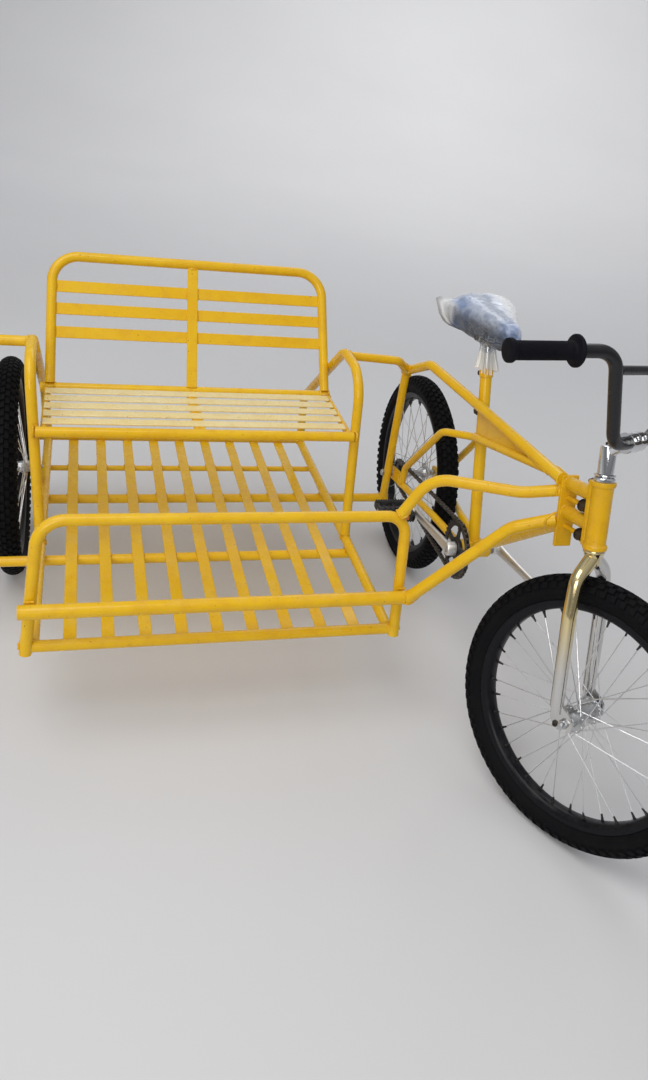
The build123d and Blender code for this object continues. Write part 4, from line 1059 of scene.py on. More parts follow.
# front guard
geo = G()
r, pts = route("guard_hoop")
pipe(geo, pts, r, hollow=(1, 1), seg=32)
for x in (-934, -231):
    for s in (-1, 1):
        seam_bead(geo, [(x + s * 10.5, -596, 203), (x + s * 9.5, -590, 212), (x + s * 6, -584, 213)], r=2.4, seed=x + s)
frame_piece("guard_hoop_welded", geo, ["guard_hoop"])
geo = G()
pipe(geo, route("guard_lower_rail")[1], 13.5, hollow=(1, 1), seg=36, wall=1.9)
for x in (-924.5, -231):
    for s in (-1, 1):
        seam_bead(geo, [(x - 9, -592 + 3.0 * s * 0.4, 290 + s * 12.0), (x + 9, -592 + 3.0 * s * 0.4, 290 + s * 12.0)], r=2.3, seed=x + s)
frame_piece("guard_lower_rail_welded", geo, ["guard_lower_rail"])

# armrests
geo = G()
for nm, x0 in (("arm_r", -244), ("arm_l", -921)):
    r, pts = route(nm)
    pipe(geo, pts, r, seg=32)
    d0 = (pts[0] - pts[1]).normalized()
    bead(geo, pts[0] - d0 * 30, d0, r, (XR if nm == "arm_r" else XL, 0, FZ), (0, 1, 0), TR, seed=x0)
    d1 = (pts[-1] - pts[-2]).normalized()
    bead(geo, pts[-1] - d1 * 30, d1, r, (XR if nm == "arm_r" else XL, 0, FZ), (0, 1, 0), TR, seed=x0 + 1)
frame_piece("armrests_welded", geo, ["armrests"])

# seat frame
geo = G()
for y, nm in ((SF, "seat_front"), (SR, "seat_rear")):
    pipe(geo, [(-924, y, SZ), (-256, y, SZ)], TR, seg=32)
    if y == SF:
        for xa, d in ((-910, -1), (-262, 1)):
            xx = -928.7 if d < 0 else -250
            bead(geo, (xa, y, SZ), (d, 0, 0), TR, (xx, -210.2, SZ), (0, 0.096, 1), TR, seed=xa)
for x in (-262.5, -908.5):
    pipe(geo, [(x, SF, SZ - 2), (x, SR, SZ - 2)], 8, seg=24)
    bead(geo, (x, SF + 40, SZ - 2), (0, -1, 0), 8, (0, SF, SZ), (1, 0, 0), TR, seed=x, r=2.0)
    bead(geo, (x, SR - 40, SZ - 2), (0, 1, 0), 8, (0, SR, SZ), (1, 0, 0), TR, seed=x + 1, r=2.0)
flat(geo, (-594, SF + 9, SZ + 4.1), (-594, SR - 9, SZ + 4.1), (1, 0, 0), 24, 4.0)
for y, s in ((SF + 10, 1), (SR - 10, -1)):
    dab(geo, (-594, y, SZ + 6), (1, 0, 0), (0, s * 0.5, 1), 9, 2.6, 2.0)
frame_piece("seat_frame_welded", geo, ["seat_frame"])

geo = G()
for k in range(5):
    y = SF + 35 + k * 40.5
    z = SZ + 8.3
    flat(geo, (-912, y, z), (-268, y, z), (0, 1, 0), 26.0, 4.0, 0, 0.9)
    for x in (-910.5, -269.5):
        dab(geo, (x, y, z - 1.0), (0, 1, 0), (-0.7 if x < -500 else 0.7, 0, 0.5), 8, 2.4, 2.0)
    for s in (-1, 1):
        dab(geo, (-594, y + s * 13.0, z - 2.2), (1, 0, 0), (0, s, 0.2), 8, 2.2, 1.8)
# The seat slats take the paler enamel copy: painted reflection on their flat tops.
frame_piece("seat_slats_welded", geo, ["seat_slats"], mats=[SHEEN_ENAMEL, WELD, INSIDE, BOLT])

# backrest
geo = G()
r, pts = route("back")
pipe(geo, pts, r, seg=32)
for i, j in ((0, 1), (-1, -2)):
    d = (pts[i] - pts[j]).normalized()
    bead(geo, pts[i] - d * 30, d, r, (0, SR, SZ), (1, 0, 0), TR, seed=30 + i)
frame_piece("backrest_hoop_welded", geo, ["backrest_hoop"])
BDIR = Vector((0, BTY - SR, BTZ - 471)).normalized()
BN = Vector((0, -BDIR.z, BDIR.y))
geo = G()
for t in (0.76, 0.585, 0.40):
    y, z = SR + t * (BTY - SR), 471 + t * (BTZ - 471)
    xa, xb = -903 + 7 * t + 9.5, -269 - 7 * t - 9.5
    flat(geo, (xa, y, z), (xb, y, z), tuple(BDIR), 26, 4.0)
    for x, s in ((xa + 0.5, 1), (xb - 0.5, -1)):
        dab(geo, (x, y - 2.2, z + 0.6), BDIR, (s * 0.6, -1, 0), 9, 2.6, 2.0)
        dab(geo, (x, y + 2.2, z - 0.6), BDIR, (s * 0.6, 1, 0), 9, 2.6, 2.0)
frame_piece("backrest_slats_welded", geo, ["backrest_slats"])
geo = G()
c0 = Vector((-590, SR, 471)) + BN * 4.3 - BDIR * 2
c1 = Vector((-586, BTY, BTZ)) + BN * 4.3 - BDIR * 10.5
flat(geo, c0, c1, (1, 0, 0), 24, 4.0)
dab(geo, c0 + BDIR * 1, (1, 0, 0), BN, 10, 3, 2.6)
dab(geo, c1 - BDIR * 1 + BN * 1.5, (1, 0, 0), BN, 10, 3, 2.4)
for t in (0.76, 0.585, 0.40):
    cc = c0.lerp(c1, t)
    for s in (-1, 1):
        dab(geo, cc + Vector((s * 12.2, 0, 0)) - BN * 1.5, BDIR, (s, 0, 0), 8, 2.4, 2.0)
frame_piece("backrest_centre_welded", geo, ["backrest_centre_bar"])

# third wheel's carrier
geo = G()
pipe(geo, route("cage_side")[1], TR, hollow=(1, 0), seg=32)
bead(geo, (CAGE, FR - 40, FZ), (0, 1, 0), TR, (0, FR, FZ), (1, 0, 0), TR, seed=40)
pipe(geo, route("cage_hoop")[1], TR, seg=32)
bead(geo, (-973, -72, 596), (1, 0, 0), TR, (-933, 0, 597), (0, 1, 0), TR, seed=41)
bead(geo, (CAGE, -72, FZ + 40), (0, 0, -1), TR, (CAGE, 0, FZ), (0, 1, 0), TR, seed=42)
for s in (-1, 1):
    seam_bead(geo, [(CAGE - 8 * s, -262, CZ + 10), (CAGE - 8 * s, -274, CZ + 10)], r=2.2, seed=43 + s)
frame_piece("wheel_cage_welded", geo, ["wheel_cage"])
geo = G()
for x in (SIDE_HUB.x + 52.0, SIDE_HUB.x - 52.0):
    y0, y1, z0, z1, c = 25 - 22, 25 + 22, FZ - 8, TYRE_R + 20, 12.0
    arc = [(y1 - c + c * cos(a), z1 - c + c * sin(a)) for a in (radians(q) for q in range(0, 91, 15))]
    arc += [(y0 + c + c * cos(a), z1 - c + c * sin(a)) for a in (radians(q) for q in range(90, 181, 15))]
    geo.prism([(y0, z0), (y1, z0)] + arc, x - 2.4, x + 2.4, 0)
    ex = XL if x > SIDE_HUB.x else CAGE
    for yy in (y0, y1):
        seam_bead(geo, [(x, yy, FZ - 4), (x, yy, FZ + 7)], r=2.0, seed=x + yy)
frame_piece("axle_plates_welded", geo, ["axle_plates"])

# ------------------------------------------------------------------ steering
def steel_head(p, base=HEAD_TOP):
    return head(p[0], p[1], p[2], base)


HB = HEAD_BOT
HM = Matrix(((1, 0, 0), tuple(FORWARD), tuple(HEAD_A))).transposed().to_4x4()     # x sideways, y ahead, z along the head axis

# fork: two curved legs that meet under the head, open slanted ends and slotted plates
geo = G(TURN)
Mb = along(HEAD_BOT, -HEAD_A)
geo.lathe([(0.4, 12.9), (0.4, 18.4), (1.4, 19.0), (4.6, 19.0), (6.0, 18.2), (8.5, 16.6), (12.5, 16.0), (12.5, 12.9)], 56, 0, True, Mb)
geo.solid_lathe([(6, 13.6), (20, 14.0), (27, 13.0), (31, 9.0), (32, 2.0)], 40, 0, Mb)
for side in (-1, 1):
    pts = rounded([head(0, 0, -13, HB), head(side * 43, 0, -46, HB), head(side * 52, 0, -110, HB), head(side * 52, 0, -FORK_LEN + 22, HB)], [36, 60], 4.0)
    n = len(pts)
    tot = sum((pts[i + 1] - pts[i]).length for i in range(n - 1))
    run, rads = 0.0, []
    for i in range(n):
        if i:
            run += (pts[i] - pts[i - 1]).length
        rads.append(13.0 - 1.3 * run / tot)
    fr = frames(pts)
    seg = 36
    rings = [circle(f, r, seg) for f, r in zip(fr, rads)]
    slant = lambda q: q - HEAD_A * (0.62 * ((q - pts[-1]).dot(FORWARD)) + 1.0)
    endr = rads[-1]
    rings[-1] = [slant(q) for q in circle(fr[-1], endr, seg)]
    lip = [slant(q) for q in circle(fr[-1], endr - 1.6, seg)]
    inside = [q + HEAD_A * 34 for q in circle(fr[-1], endr - 1.7, seg)]
    geo.rings(rings, 0, caps=False)
    geo.add(rings[0], [tuple(range(seg))], 0)
    geo.rings([rings[-1], lip], 0, caps=False)
    geo.rings([lip, inside], 1, caps=False)
    geo.add(inside, [tuple(range(seg))], 1)
    x = side * 52.0
    Mp = Matrix.Translation(HEAD_BOT) @ HM
    zc = -FORK_LEN
    out = [(-9, zc + 34), (-9, zc + 2), (-2, zc - 9), (7, zc - 15.5), (14.6, zc - 16)]
    out += [(14.6, zc)] + [(20 + 5.4 * cos(a), zc + 5.4 * sin(a)) for a in (radians(q) for q in range(180, -1, -30))] + [(25.4, zc - 16)]
    out += [(30, zc - 14.5), (34, zc - 9), (35, zc - 1), (34, zc + 8), (27, zc + 19), (14, zc + 27), (8, zc + 36)]
    geo.prism(out, x - 2.5, x + 2.5, 0, Mp)
    for yy in (-7.5, 7.5):
        seam_bead(geo, [steel_head((x + side * 2.0, yy, zc + 20), HB), steel_head((x + side * 2.0, yy, zc + 33), HB)], 0, 1.8, seed=yy)
    geo.solid_lathe([(-5.2, 3.4), (4.6, 3.4)], 14, 2, Matrix.Translation(steel_head((x, 2, zc - 4), HB)))
    geo.nut(3.0 if side > 0 else -7.0, 7.0 if side > 0 else -3.0, 8.6, 2.0, 2, Matrix.Translation(steel_head((x, 4, zc - 6.5), HB)))
make("fork_chromed", geo, [FORK_CHROME, INSIDE, BOLT], "steering", ["fork"], 32)

# headset top, quill and clamp
geo = G(TURN)
Mt = along(HEAD_TOP, HEAD_A)
geo.lathe([(0.4, 12.9), (0.4, 17.4), (1.2, 18.0), (5.6, 18.0), (7.2, 16.6), (8.0, 16.4), (8.0, 12.9)], 56, 0, True, Mt)
geo.nut(8.4, 13.0, 31.0, 12.9, 0, Mt)
geo.solid_lathe([(13.2, 13.2), (13.6, 13.9), (56, 13.9), (60.6, 13.2), (62, 11.0), (62.2, 6.5)], 48, 0, Mt)
geo.nut(62, 66.5, 11.0, 2.0, 2, Mt)
ext = [head(0, 0, 51), head(0, 12, 60), head(0, 39, 74)]
geo.tube(rounded(ext, [26], 2.5), 12.0, 36, 0)
cl = TURN.inverted() @ Vector((0, 0, 0))
geo.lathe([(-22, 10.9), (-22, 16.2), (-21, 17.0), (-3, 17.0), (-2.4, 16.6), (2.4, 16.6), (3, 17.0), (21, 17.0), (22, 16.2), (22, 10.9)], 52, 0, True, Matrix.Translation(head(0, 39, 74)))
for x in (-12, 12):
    geo.box((x - 6, -4.0, 12.0), (x + 6, 4.0, 23.0), 0, Matrix.Translation(head(0, 39, 74)) @ HM @ Matrix.Rotation(radians(-62), 4, "X"), 1.2)
    geo.solid_lathe([(-7.2, 2.6), (6.4, 2.6), (7.0, 2.0)], 14, 2, Matrix.Translation(head(0, 39, 74)) @ HM @ Matrix.Rotation(radians(-62), 4, "X") @ Matrix.Translation((x, 0, 18.4)) @ Matrix.Rotation(pi / 2, 4, "Z"))
    geo.nut(3.8, 8.6, 8.8, 2.6, 2, Matrix.Translation(head(0, 39, 74)) @ HM @ Matrix.Rotation(radians(-62), 4, "X") @ Matrix.Translation((x, 0, 18.4)) @ Matrix.Rotation(pi / 2, 4, "Z"))
make("stem_chromed", geo, [CHROME, INSIDE, BOLT], "steering", ["stem"], 32)

# handlebar with its cross brace
BAR = [head(-296, -6, 220), head(-135, 65, 225), head(-60, 39, 74), head(60, 39, 74), head(135, 65, 225), head(296, -6, 220)]
geo = G(TURN)
pts = rounded(BAR, [46, 42, 42, 46], 3.0)
geo.tube(pts, 10.6, 36, 0)
ca, cb = head(-118, 60, 196), head(118, 60, 196)
cm = head(0, 62, 193)
geo.tube([ca.lerp(cm, k / 12) if k <= 12 else cm.lerp(cb, (k - 12) / 12) for k in range(25)], 7.4, 26, 0)
for side in (-1, 1):
    lo, hi = head(side * 60, 39, 74), head(side * 135, 65, 225)
    d = (Vector((side, 0, 0))).normalized()
    bead(geo, head(side * 60, 60, 196), d, 7.4, lo, (hi - lo).normalized(), 10.6, 0, 1.9, seed=side)
make("handlebar_black", geo, [BLACK], "steering", ["handlebar"], 34)

# grips: ribbed sleeves with a round flange at each end
geo = G(TURN)
for side in (-1, 1):
    end = head(side * 296, -6, 220)
    d = (end - head(side * 135, 65, 225)).normalized()
    Mg = along(end, -d)
    prof = [(-5.8, 0.2), (-6.0, 9.0), (-5.6, 15.6), (-4.6, 17.2), (-2.6, 17.6), (1.6, 17.6), (3.2, 16.8), (4.2, 14.6)]
    x = 5.0
    while x < 97:
        prof += [(x, 13.1), (x + 0.5, 13.9), (x + 2.0, 14.0), (x + 2.5, 13.1)]
        x += 3.6
    prof += [(98.5, 13.6), (101.0, 15.0), (102.6, 19.0), (103.4, 22.8), (104.8, 24.0), (108.2, 24.0), (109.8, 22.8), (110.4, 18), (110.6, 10.7)]
    geo.solid_lathe(prof, 56, 0, Mg)
make("grips_ribbed", geo, [GRIP], "steering", ["grips"], 32)

# ------------------------------------------------------------------ seat post and saddle
PT = SEAT_TOP + st_d * 64
geo = G()
pipe(geo, [SEAT_TOP - st_d * 60, PT - st_d * 8, PT + st_d * 6], [11.1, 11.1, 10.4], seg=44, inner=1)
Mx = Matrix.Translation(PT)
geo.lathe([(-9, 6), (-9, 14.4), (-8.2, 15.0), (8.2, 15.0), (9, 14.4), (9, 6)], 44, 0, True, Mx)
for s in (-1, 1):
    ring = [(13.6 + (0.7 if i % 2 else -0.1), 2 * pi * i / 56) for i in range(56)]
    gear(geo, ring, min(s * 9.4, s * 15.4), max(s * 9.4, s * 15.4), 4.0, 0, PT.y, PT.z)
    geo.box((min(s * 16, s * 26), -9, -6.6), (max(s * 16, s * 26), 9, 6.6), 0, Mx, 1.4)
    geo.nut(min(s * 26.4, s * 32), max(s * 26.4, s * 32), 12.0, 3.0, 2, Mx)
    rp = rounded([(s * 9, PT.y - 96, PT.z + 17), (s * 21, PT.y - 36, PT.z), (s * 21, PT.y + 50, PT.z), (s * 21, PT.y + 84, PT.z + 17)], [40, 26], 3.0)
    geo.tube(rp, 3.5, 16, 0)
geo.solid_lathe([(-32, 3.0), (32, 3.0)], 14, 2, Mx)
make("seat_post_chromed", geo, [CHROME, INSIDE, BOLT], "vehicle_frame", ["seat_post"], 32)

SB = Vector((0, PT.y + 20, PT.z + 20))         # saddle's base: middle of its own axes
WID = [(-135, 0.0), (-133.5, 6.5), (-129.5, 12.0), (-122, 16.4), (-110, 19.2), (-93, 22.6), (-75, 27.4), (-55, 33.4), (-38, 39.6), (-18, 48.4), (0, 55.8), (17, 61.4), (32, 65.0), (47, 66.8), (62, 65.4), (76, 59.4), (88, 47.6), (95, 33.5), (98.8, 18.0), (100, 0.0)]
HIG = [(-135, 19.0), (-128, 29.0), (-115, 35.0), (-80, 39.0), (-30, 44.0), (0, 47.4), (20, 50.0), (45, 51.8), (62, 51.8), (80, 48.5), (92, 43.0), (100, 33.0)]


def table(tab, y):
    """Smooth value from a table of (y, value)."""
    if y <= tab[0][0]:
        return tab[0][1]
    for i in range(len(tab) - 1):
        (y0, a), (y1, b) = tab[i], tab[i + 1]
        if y <= y1:
            t = (y - y0) / (y1 - y0)
            m0 = (b - tab[i - 1][1]) / (y1 - tab[i - 1][0]) if i > 0 else (b - a) / (y1 - y0)
            m1 = (tab[i + 2][1] - a) / (tab[i + 2][0] - y0) if i + 2 < len(tab) else (b - a) / (y1 - y0)
            h = y1 - y0
            return (2 * t ** 3 - 3 * t * t + 1) * a + (t ** 3 - 2 * t * t + t) * h * m0 + (3 * t * t - 2 * t ** 3) * b + (t ** 3 - t * t) * h * m1
    return tab[-1][1]


def outline_points(n=132, grow=0.0):
    """Saddle's outline seen from above, evenly spaced, with the spine point that each belongs to."""
    half = [(w, y) for y, w in WID]
    line = [Vector((x, y)) for x, y in half] + [Vector((-x, y)) for x, y in half[::-1]][1:-1]
    out, L = [], 0.0
    k = len(line)
    lens = [(line[(i + 1) % k] - line[i]).length for i in range(k)]
    tot = sum(lens)
    i, acc = 0, 0.0
    for j in range(n):
        s = tot * j / n
        while acc + lens[i] < s:
            acc += lens[i]
            i += 1
        out.append(line[i].lerp(line[(i + 1) % k], (s - acc) / lens[i]))
    for _ in range(2):                              # rounds the corners of the outline
        out = [(out[q - 1] + out[q] * 2 + out[(q + 1) % n]) / 4 for q in range(n)]
    if grow:
        res = []
        for q in range(n):
            t = (out[(q + 1) % n] - out[q - 1]).normalized()
            res.append(out[q] + Vector((t.y, -t.x)) * grow)
        out = res
    return [(p, Vector((0, max(-112.0, min(52.0, p.y * 0.86))))) for p in out]


EDGE = 11.0


def saddle_point(p, sp, t, off=0.0):
    q = sp.lerp(p, t)
    h = table(HIG, q.y)
    s = max(0.0, 1 - min(1.0, t) ** 2.7) ** 0.5
    z = EDGE + (h - EDGE) * s
    dip = 2.6 * max(0.0, 1 - (q.x / 17) ** 2) * max(0.0, 1 - ((q.y - 15) / 95) ** 2)      # shallow channel along the middle
    return Vector((SB.x + q.x, SB.y + q.y, SB.z + z - dip + off))


LOOP = outline_points()
LV = [0.0, 0.1, 0.2, 0.3, 0.4, 0.5, 0.6, 0.68, 0.75, 0.81, 0.86, 0.90, 0.93, 0.955, 0.975, 0.99, 1.0]
geo = G()
rings = [[saddle_point(p, sp, t) for p, sp in LOOP] for t in LV]
geo.rings(rings, 0, caps=False)
low = []
for inset, z in ((0.0, EDGE - 2.5), (0.4, EDGE - 5.0), (1.8, EDGE - 7.2), (4.6, EDGE - 8.2)):
    low.append([Vector((SB.x + p.x - (p - sp).normalized().x * inset, SB.y + p.y - (p - sp).normalized().y * inset, SB.z + z)) for p, sp in LOOP])
geo.rings([rings[-1]] + low[:2], 0, caps=False)
under = [low[1], low[2], low[3]]
for t, z in ((0.86, 4.5), (0.5, 6.5), (0.0, 7.0)):
    under.append([Vector((SB.x + sp.lerp(p, t).x, SB.y + sp.lerp(p, t).y, SB.z + z)) for p, sp in LOOP])
geo.rings(under, 1, caps=False)
# piping round the edge and one row of stitches
edge = [Vector((SB.x + p.x * 1.004, SB.y + p.y * 1.002, SB.z + EDGE - 2.2)) for p, sp in LOOP]
geo.tube(edge, 1.5, 8, 0, closed=True)
for t in (0.955,):
    row = [saddle_point(p, sp, t) for p, sp in LOOP]
    tot, n = 0.0, len(row)
    for i in range(n):
        a, b = row[i], row[(i + 1) % n]
        m = a.lerp(b, 0.5)
        c = Vector((SB.x, m.y, SB.z - 10))
        u = (m - c).normalized()
        geo.tube([a.lerp(b, 0.16) + u * 0.1, m + u * 0.75, a.lerp(b, 0.84) + u * 0.1], [0.42, 0.55, 0.42], 5, 2)
saddle = make("saddle_upholstered", geo, [VINYL, PLASTIC, THREAD], "vehicle_frame", ["saddle"], 40)

# clear film bag, pulled over the saddle and gathered round the post
geo = G()
FL = outline_points(168, 3.2)
gc = PT - st_d * 12


def crinkle(p, amp, k=1.0, seed=0.0):
    q = Vector((p.x * 0.035 * k, p.y * 0.030 * k, p.z * 0.05 * k + seed))
    a = noise.fractal(q, 0.9, 2.1, 4)
    b = abs(noise.noise(q * 2.3 + Vector((7, 3, 1))))
    return amp * (a * 0.75 + (0.32 - b) * 1.5)


def tuft(p, k, lift=22.0):
    """Corner of the bag that stands out beside the saddle's tail, on the right."""
    if p.x > 0 or k <= 0:
        return Vector((0, 0, 0))
    w = 2.718 ** (-((p.y - 50) / 17.0) ** 2) * k
    fold = 0.72 + 0.28 * sin(p.y * 0.42) + 0.16 * sin(p.y * 0.93 + 1)
    return Vector((-33.0 * fold, 7.0 * sin(p.y * 0.3), lift * fold)) * w


frings = []
TL = [0.0, 0.08, 0.16, 0.24, 0.32, 0.40, 0.48, 0.56, 0.63, 0.70, 0.76, 0.81, 0.86, 0.90, 0.935, 0.965, 0.985, 1.0]
for t in TL:
    ring = []
    for p, sp in FL:
        q = saddle_point(p, sp, t, 2.2)
        c = Vector((SB.x, SB.y + sp.y, SB.z - 20))
        u = (q - c).normalized()
        loose = 6.5 * max(0.0, p.x / 62.0) ** 0.7 * min(1.0, max(0.0, (t - 0.25) / 0.6)) if p.x > 0 else 0.0
        rise = min(1.0, max(0.0, (t - 0.80) / 0.2)) ** 2
        ring.append(q + u * max(-0.9, crinkle(q, 1.0 + 1.0 * t)) + Vector((1, -0.2, 0.55)) * loose + tuft(p, rise))
    frings.append(ring)
nf = len(FL)
gath = []
for j, (p, sp) in enumerate(FL):
    a = atan2(SB.y + p.y - gc.y, p.x)
    gath.append(a)
STEPS = 13
for i in range(1, STEPS + 1):
    f = i / STEPS
    ring = []
    for j, (p, sp) in enumerate(FL):
        e = Vector((SB.x + p.x, SB.y + p.y, SB.z + EDGE - 3))
        a = gath[j]
        pleat = 1 + (0.10 + 0.16 * f) * sin(17 * a + 2.1 * sin(3 * a)) * f
        gr = 16.0 * pleat
        gp = Vector((gc.x + gr * cos(a), gc.y + gr * sin(a), gc.z))
        ff = f ** 1.12
        q = e.lerp(gp, ff)
        q.z -= 13.0 * sin(pi * f ** 0.62) + 2 * (1 - f) * min(1, f * 8)
        q.z += crinkle(q, 2.4, 0.9, 9.0) * sin(pi * f)
        ring.append(q + tuft(p, max(0.0, 1 - f / 0.42) ** 1.1, max(-3.0, 22.0 - 130.0 * f)) + Vector((5.0 * max(0.0, p.x / 62.0) * max(0.0, 1 - f * 3), 0, 0)))
    frings.append(ring)
for i, (dz, gr0) in enumerate(((4, 15.2), (11, 15.8), (20, 16.8), (30, 18.4), (41, 20.2), (52, 21.6))):
    ring = []
    for j, (p, sp) in enumerate(FL):
        a = gath[j]
        w = 0.16 + 0.035 * i
        pleat = 1 + w * sin(17 * a + 2.1 * sin(3 * a)) * (0.8 + 0.2 * sin(5 * a))
        gr = max(13.4, gr0 * pleat)
        z = dz + (5.0 * sin(3 * a + 1) + 2.0 * sin(7 * a)) * dz / 52
        ring.append(Vector((gc.x + gr * cos(a), gc.y + gr * sin(a) - dz * 0.33, gc.z - z)))
    frings.append(ring)
geo.rings(frings, 0, caps=False)
film = make("clear_film_bag", geo, [FILM], "vehicle_frame", (), None, weld=0.05)

# ------------------------------------------------------------------ crank, pedals and chain
RING_P, SPRO_P, CHX = 64.79, 32.55, -42.0
geo = G()
geo.solid_lathe([(-62, 7.5), (-61.5, 8.4), (61.5, 8.4), (62, 7.5)], 26, 1, Matrix.Translation(BB))


def block(y, z, hy, hz, x, M, k=0.72, seg=28):
    """Rounded section of an arm: a superellipse in the plane square to the arm."""
    out = []
    for i in range(seg):
        a = 2 * pi * i / seg
        c, s = cos(a), sin(a)
        out.append(M @ Vector((x, y + hy * (abs(c) ** k) * (1 if c > 0 else -1), z + hz * (abs(s) ** k) * (1 if s > 0 else -1))))
    return out


for side in (-1, 1):
    ey = BB.y - side * 170.0
    a = Vector((side * 59.0, BB.y, BB.z))
    b = Vector((side * 84.0, ey, BB.z))
    d = (b - a).normalized()
    Ma = along(a, d, (0, 0, 1))              # x along the arm, y up, z sideways
    L = (b - a).length
    secs = []
    for f, hy, hz in ((-0.03, 11.5, 6.6), (0.03, 13.2, 7.2), (0.12, 12.4, 7.0), (0.3, 10.9, 6.4), (0.55, 9.6, 5.9), (0.8, 9.4, 5.8), (0.92, 10.4, 6.1), (1.0, 11.2, 6.4), (1.04, 10.6, 6.2)):
        secs.append(block(0, 0, hy, hz, L * f, Ma))
    geo.rings(secs, 0)
    geo.lathe([(side * 44.5, 8.6), (side * 44.5, 14.6), (side * 46, 15.6), (side * 64, 15.6), (side * 66.4, 14.2), (side * 66.4, 7.4)], 44, 0, True, Matrix.Translation(BB))
    geo.solid_lathe([(side * 60, 7.3), (side * 65.6, 7.3), (side * 66.0, 6.4)], 24, 2, Matrix.Translation(BB))
    geo.nut(min(side * 62, side * 66.2), max(side * 62, side * 66.2), 12.0, 1.0, 1, Matrix.Translation(BB))
    Me = Matrix.Translation((0, ey, BB.z))
    geo.lathe([(side * 77, 5.0), (side * 77, 11.2), (side * 78.2, 12.0), (side * 89.8, 12.0), (side * 91, 11.2), (side * 91, 5.0)], 40, 0, True, Me)
    geo.solid_lathe([(side * 76.4, 4.6), (side * 78, 5.3), (side * 96, 5.3), (side * 96.5, 4.8), (side * 175, 4.8), (side * 176, 4.0)], 22, 1, Me)
    geo.nut(min(side * 91.2, side * 92.3), max(side * 91.2, side * 92.3), 14.0, 4.8, 1, Me)
make("crank_arms_forged", geo, [ALU, ZINC, DARK], "crank", ["crank_arms"], 32)

TEETH_R, TEETH_S = 32, 16
ang0 = 0.13                                   # first joint's place on the chainring
geo = G()
ring = []
for i in range(TEETH_R * 6):
    ring.append((RING_P + (3.5, 1.7, -2.2, -3.5, -2.2, 1.7)[i % 6], 2 * pi * (i + 3) / (TEETH_R * 6) + ang0))
gear(geo, ring, CHX - 1.3, CHX + 1.3, 50.5, 0, BB.y, BB.z)
geo.lathe([(CHX - 2.2, 9.2), (CHX - 2.2, 25.0), (CHX - 1.4, 26.0), (CHX + 1.4, 26.0), (CHX + 2.2, 25.0), (CHX + 2.2, 9.2)], 44, 0, True, Matrix.Translation(BB))
for k in range(5):
    a = 2 * pi * k / 5 + 0.3
    Mk = Matrix.Translation((CHX, BB.y, BB.z)) @ Matrix.Rotation(a, 4, "X")
    geo.prism([(20, -9.5), (30, -7.4), (44, -5.4), (53, -6.4), (53, 6.4), (44, 5.4), (30, 7.4), (20, 9.5)], -1.2, 1.2, 0, Mk)
    geo.nut(-3.6, -1.3, 8.0, 1.0, 1, Mk @ Matrix.Translation((0, 50.5, 0)))
    geo.solid_lathe([(1.3, 4.2), (2.8, 4.0), (3.2, 3.0)], 16, 1, Mk @ Matrix.Translation((0, 50.5, 0)))
make("chainring_toothed", geo, [DARK, BOLT], "crank", ["chainring"], 30)

# chain: joints lie in the tooth gaps, and the straight runs share out what is left
dc = sqrt(BB.y ** 2 + (BB.z - 254.0) ** 2)
base = atan2(BB.z - 254.0, BB.y)              # from the rear axle to the crank
lean = atan2(RING_P - SPRO_P, sqrt(dc * dc - (RING_P - SPRO_P) ** 2))
up_a, lo_a = base - pi / 2 - lean + 0.0, base + pi / 2 + lean


def on_ring(a):
    return Vector((CHX, BB.y + RING_P * cos(a), BB.z + RING_P * sin(a)))


def on_spro(a):
    return Vector((CHX, RING_Y0 + SPRO_P * cos(a), 254.0 + SPRO_P * sin(a)))


RING_Y0 = 0.0
# The tangent points: the run leaves both wheels square to the same direction.
top_n = base - (pi / 2 - lean)                # crank lies along base (ahead), top side is clockwise from it
bot_n = base + (pi / 2 - lean)
cand = [a for a in (top_n, bot_n)]
top_t = max(cand, key=lambda a: sin(a))
bot_t = min(cand, key=lambda a: sin(a))


def span(a0, a1, ccw):
    d = (a1 - a0) % (2 * pi)
    return d if ccw else d - 2 * pi


joints = []
# round the chainring's front, from the top tangent point to the lower one
front = base
sweep = span(top_t, bot_t, True)
if abs(((top_t + sweep / 2 - front + pi) % (2 * pi)) - pi) > pi / 2:
    sweep = span(top_t, bot_t, False)
step = 2 * pi / TEETH_R * (1 if sweep > 0 else -1)
k0 = [ang0 + 2 * pi * k / TEETH_R for k in range(TEETH_R)]
on = sorted([((a - top_t) * (1 if sweep > 0 else -1)) % (2 * pi) for a in k0])
on = [q for q in on if q <= abs(sweep) + 1e-6]
for q in on:
    joints.append(on_ring(top_t + q * (1 if sweep > 0 else -1)))
s_sweep = span(bot_t, top_t, sweep > 0)
k1 = [2 * pi * (k + 0.5) / TEETH_S for k in range(TEETH_S)]
on_s = sorted([((a - bot_t) * (1 if s_sweep > 0 else -1)) % (2 * pi) for a in k1])
on_s = [q for q in on_s if q <= abs(s_sweep) + 1e-6]
back_j = [on_spro(bot_t + q * (1 if s_sweep > 0 else -1)) for q in on_s]


def between(a, b, n):
    return [a.lerp(b, k / n) for k in range(1, n)]


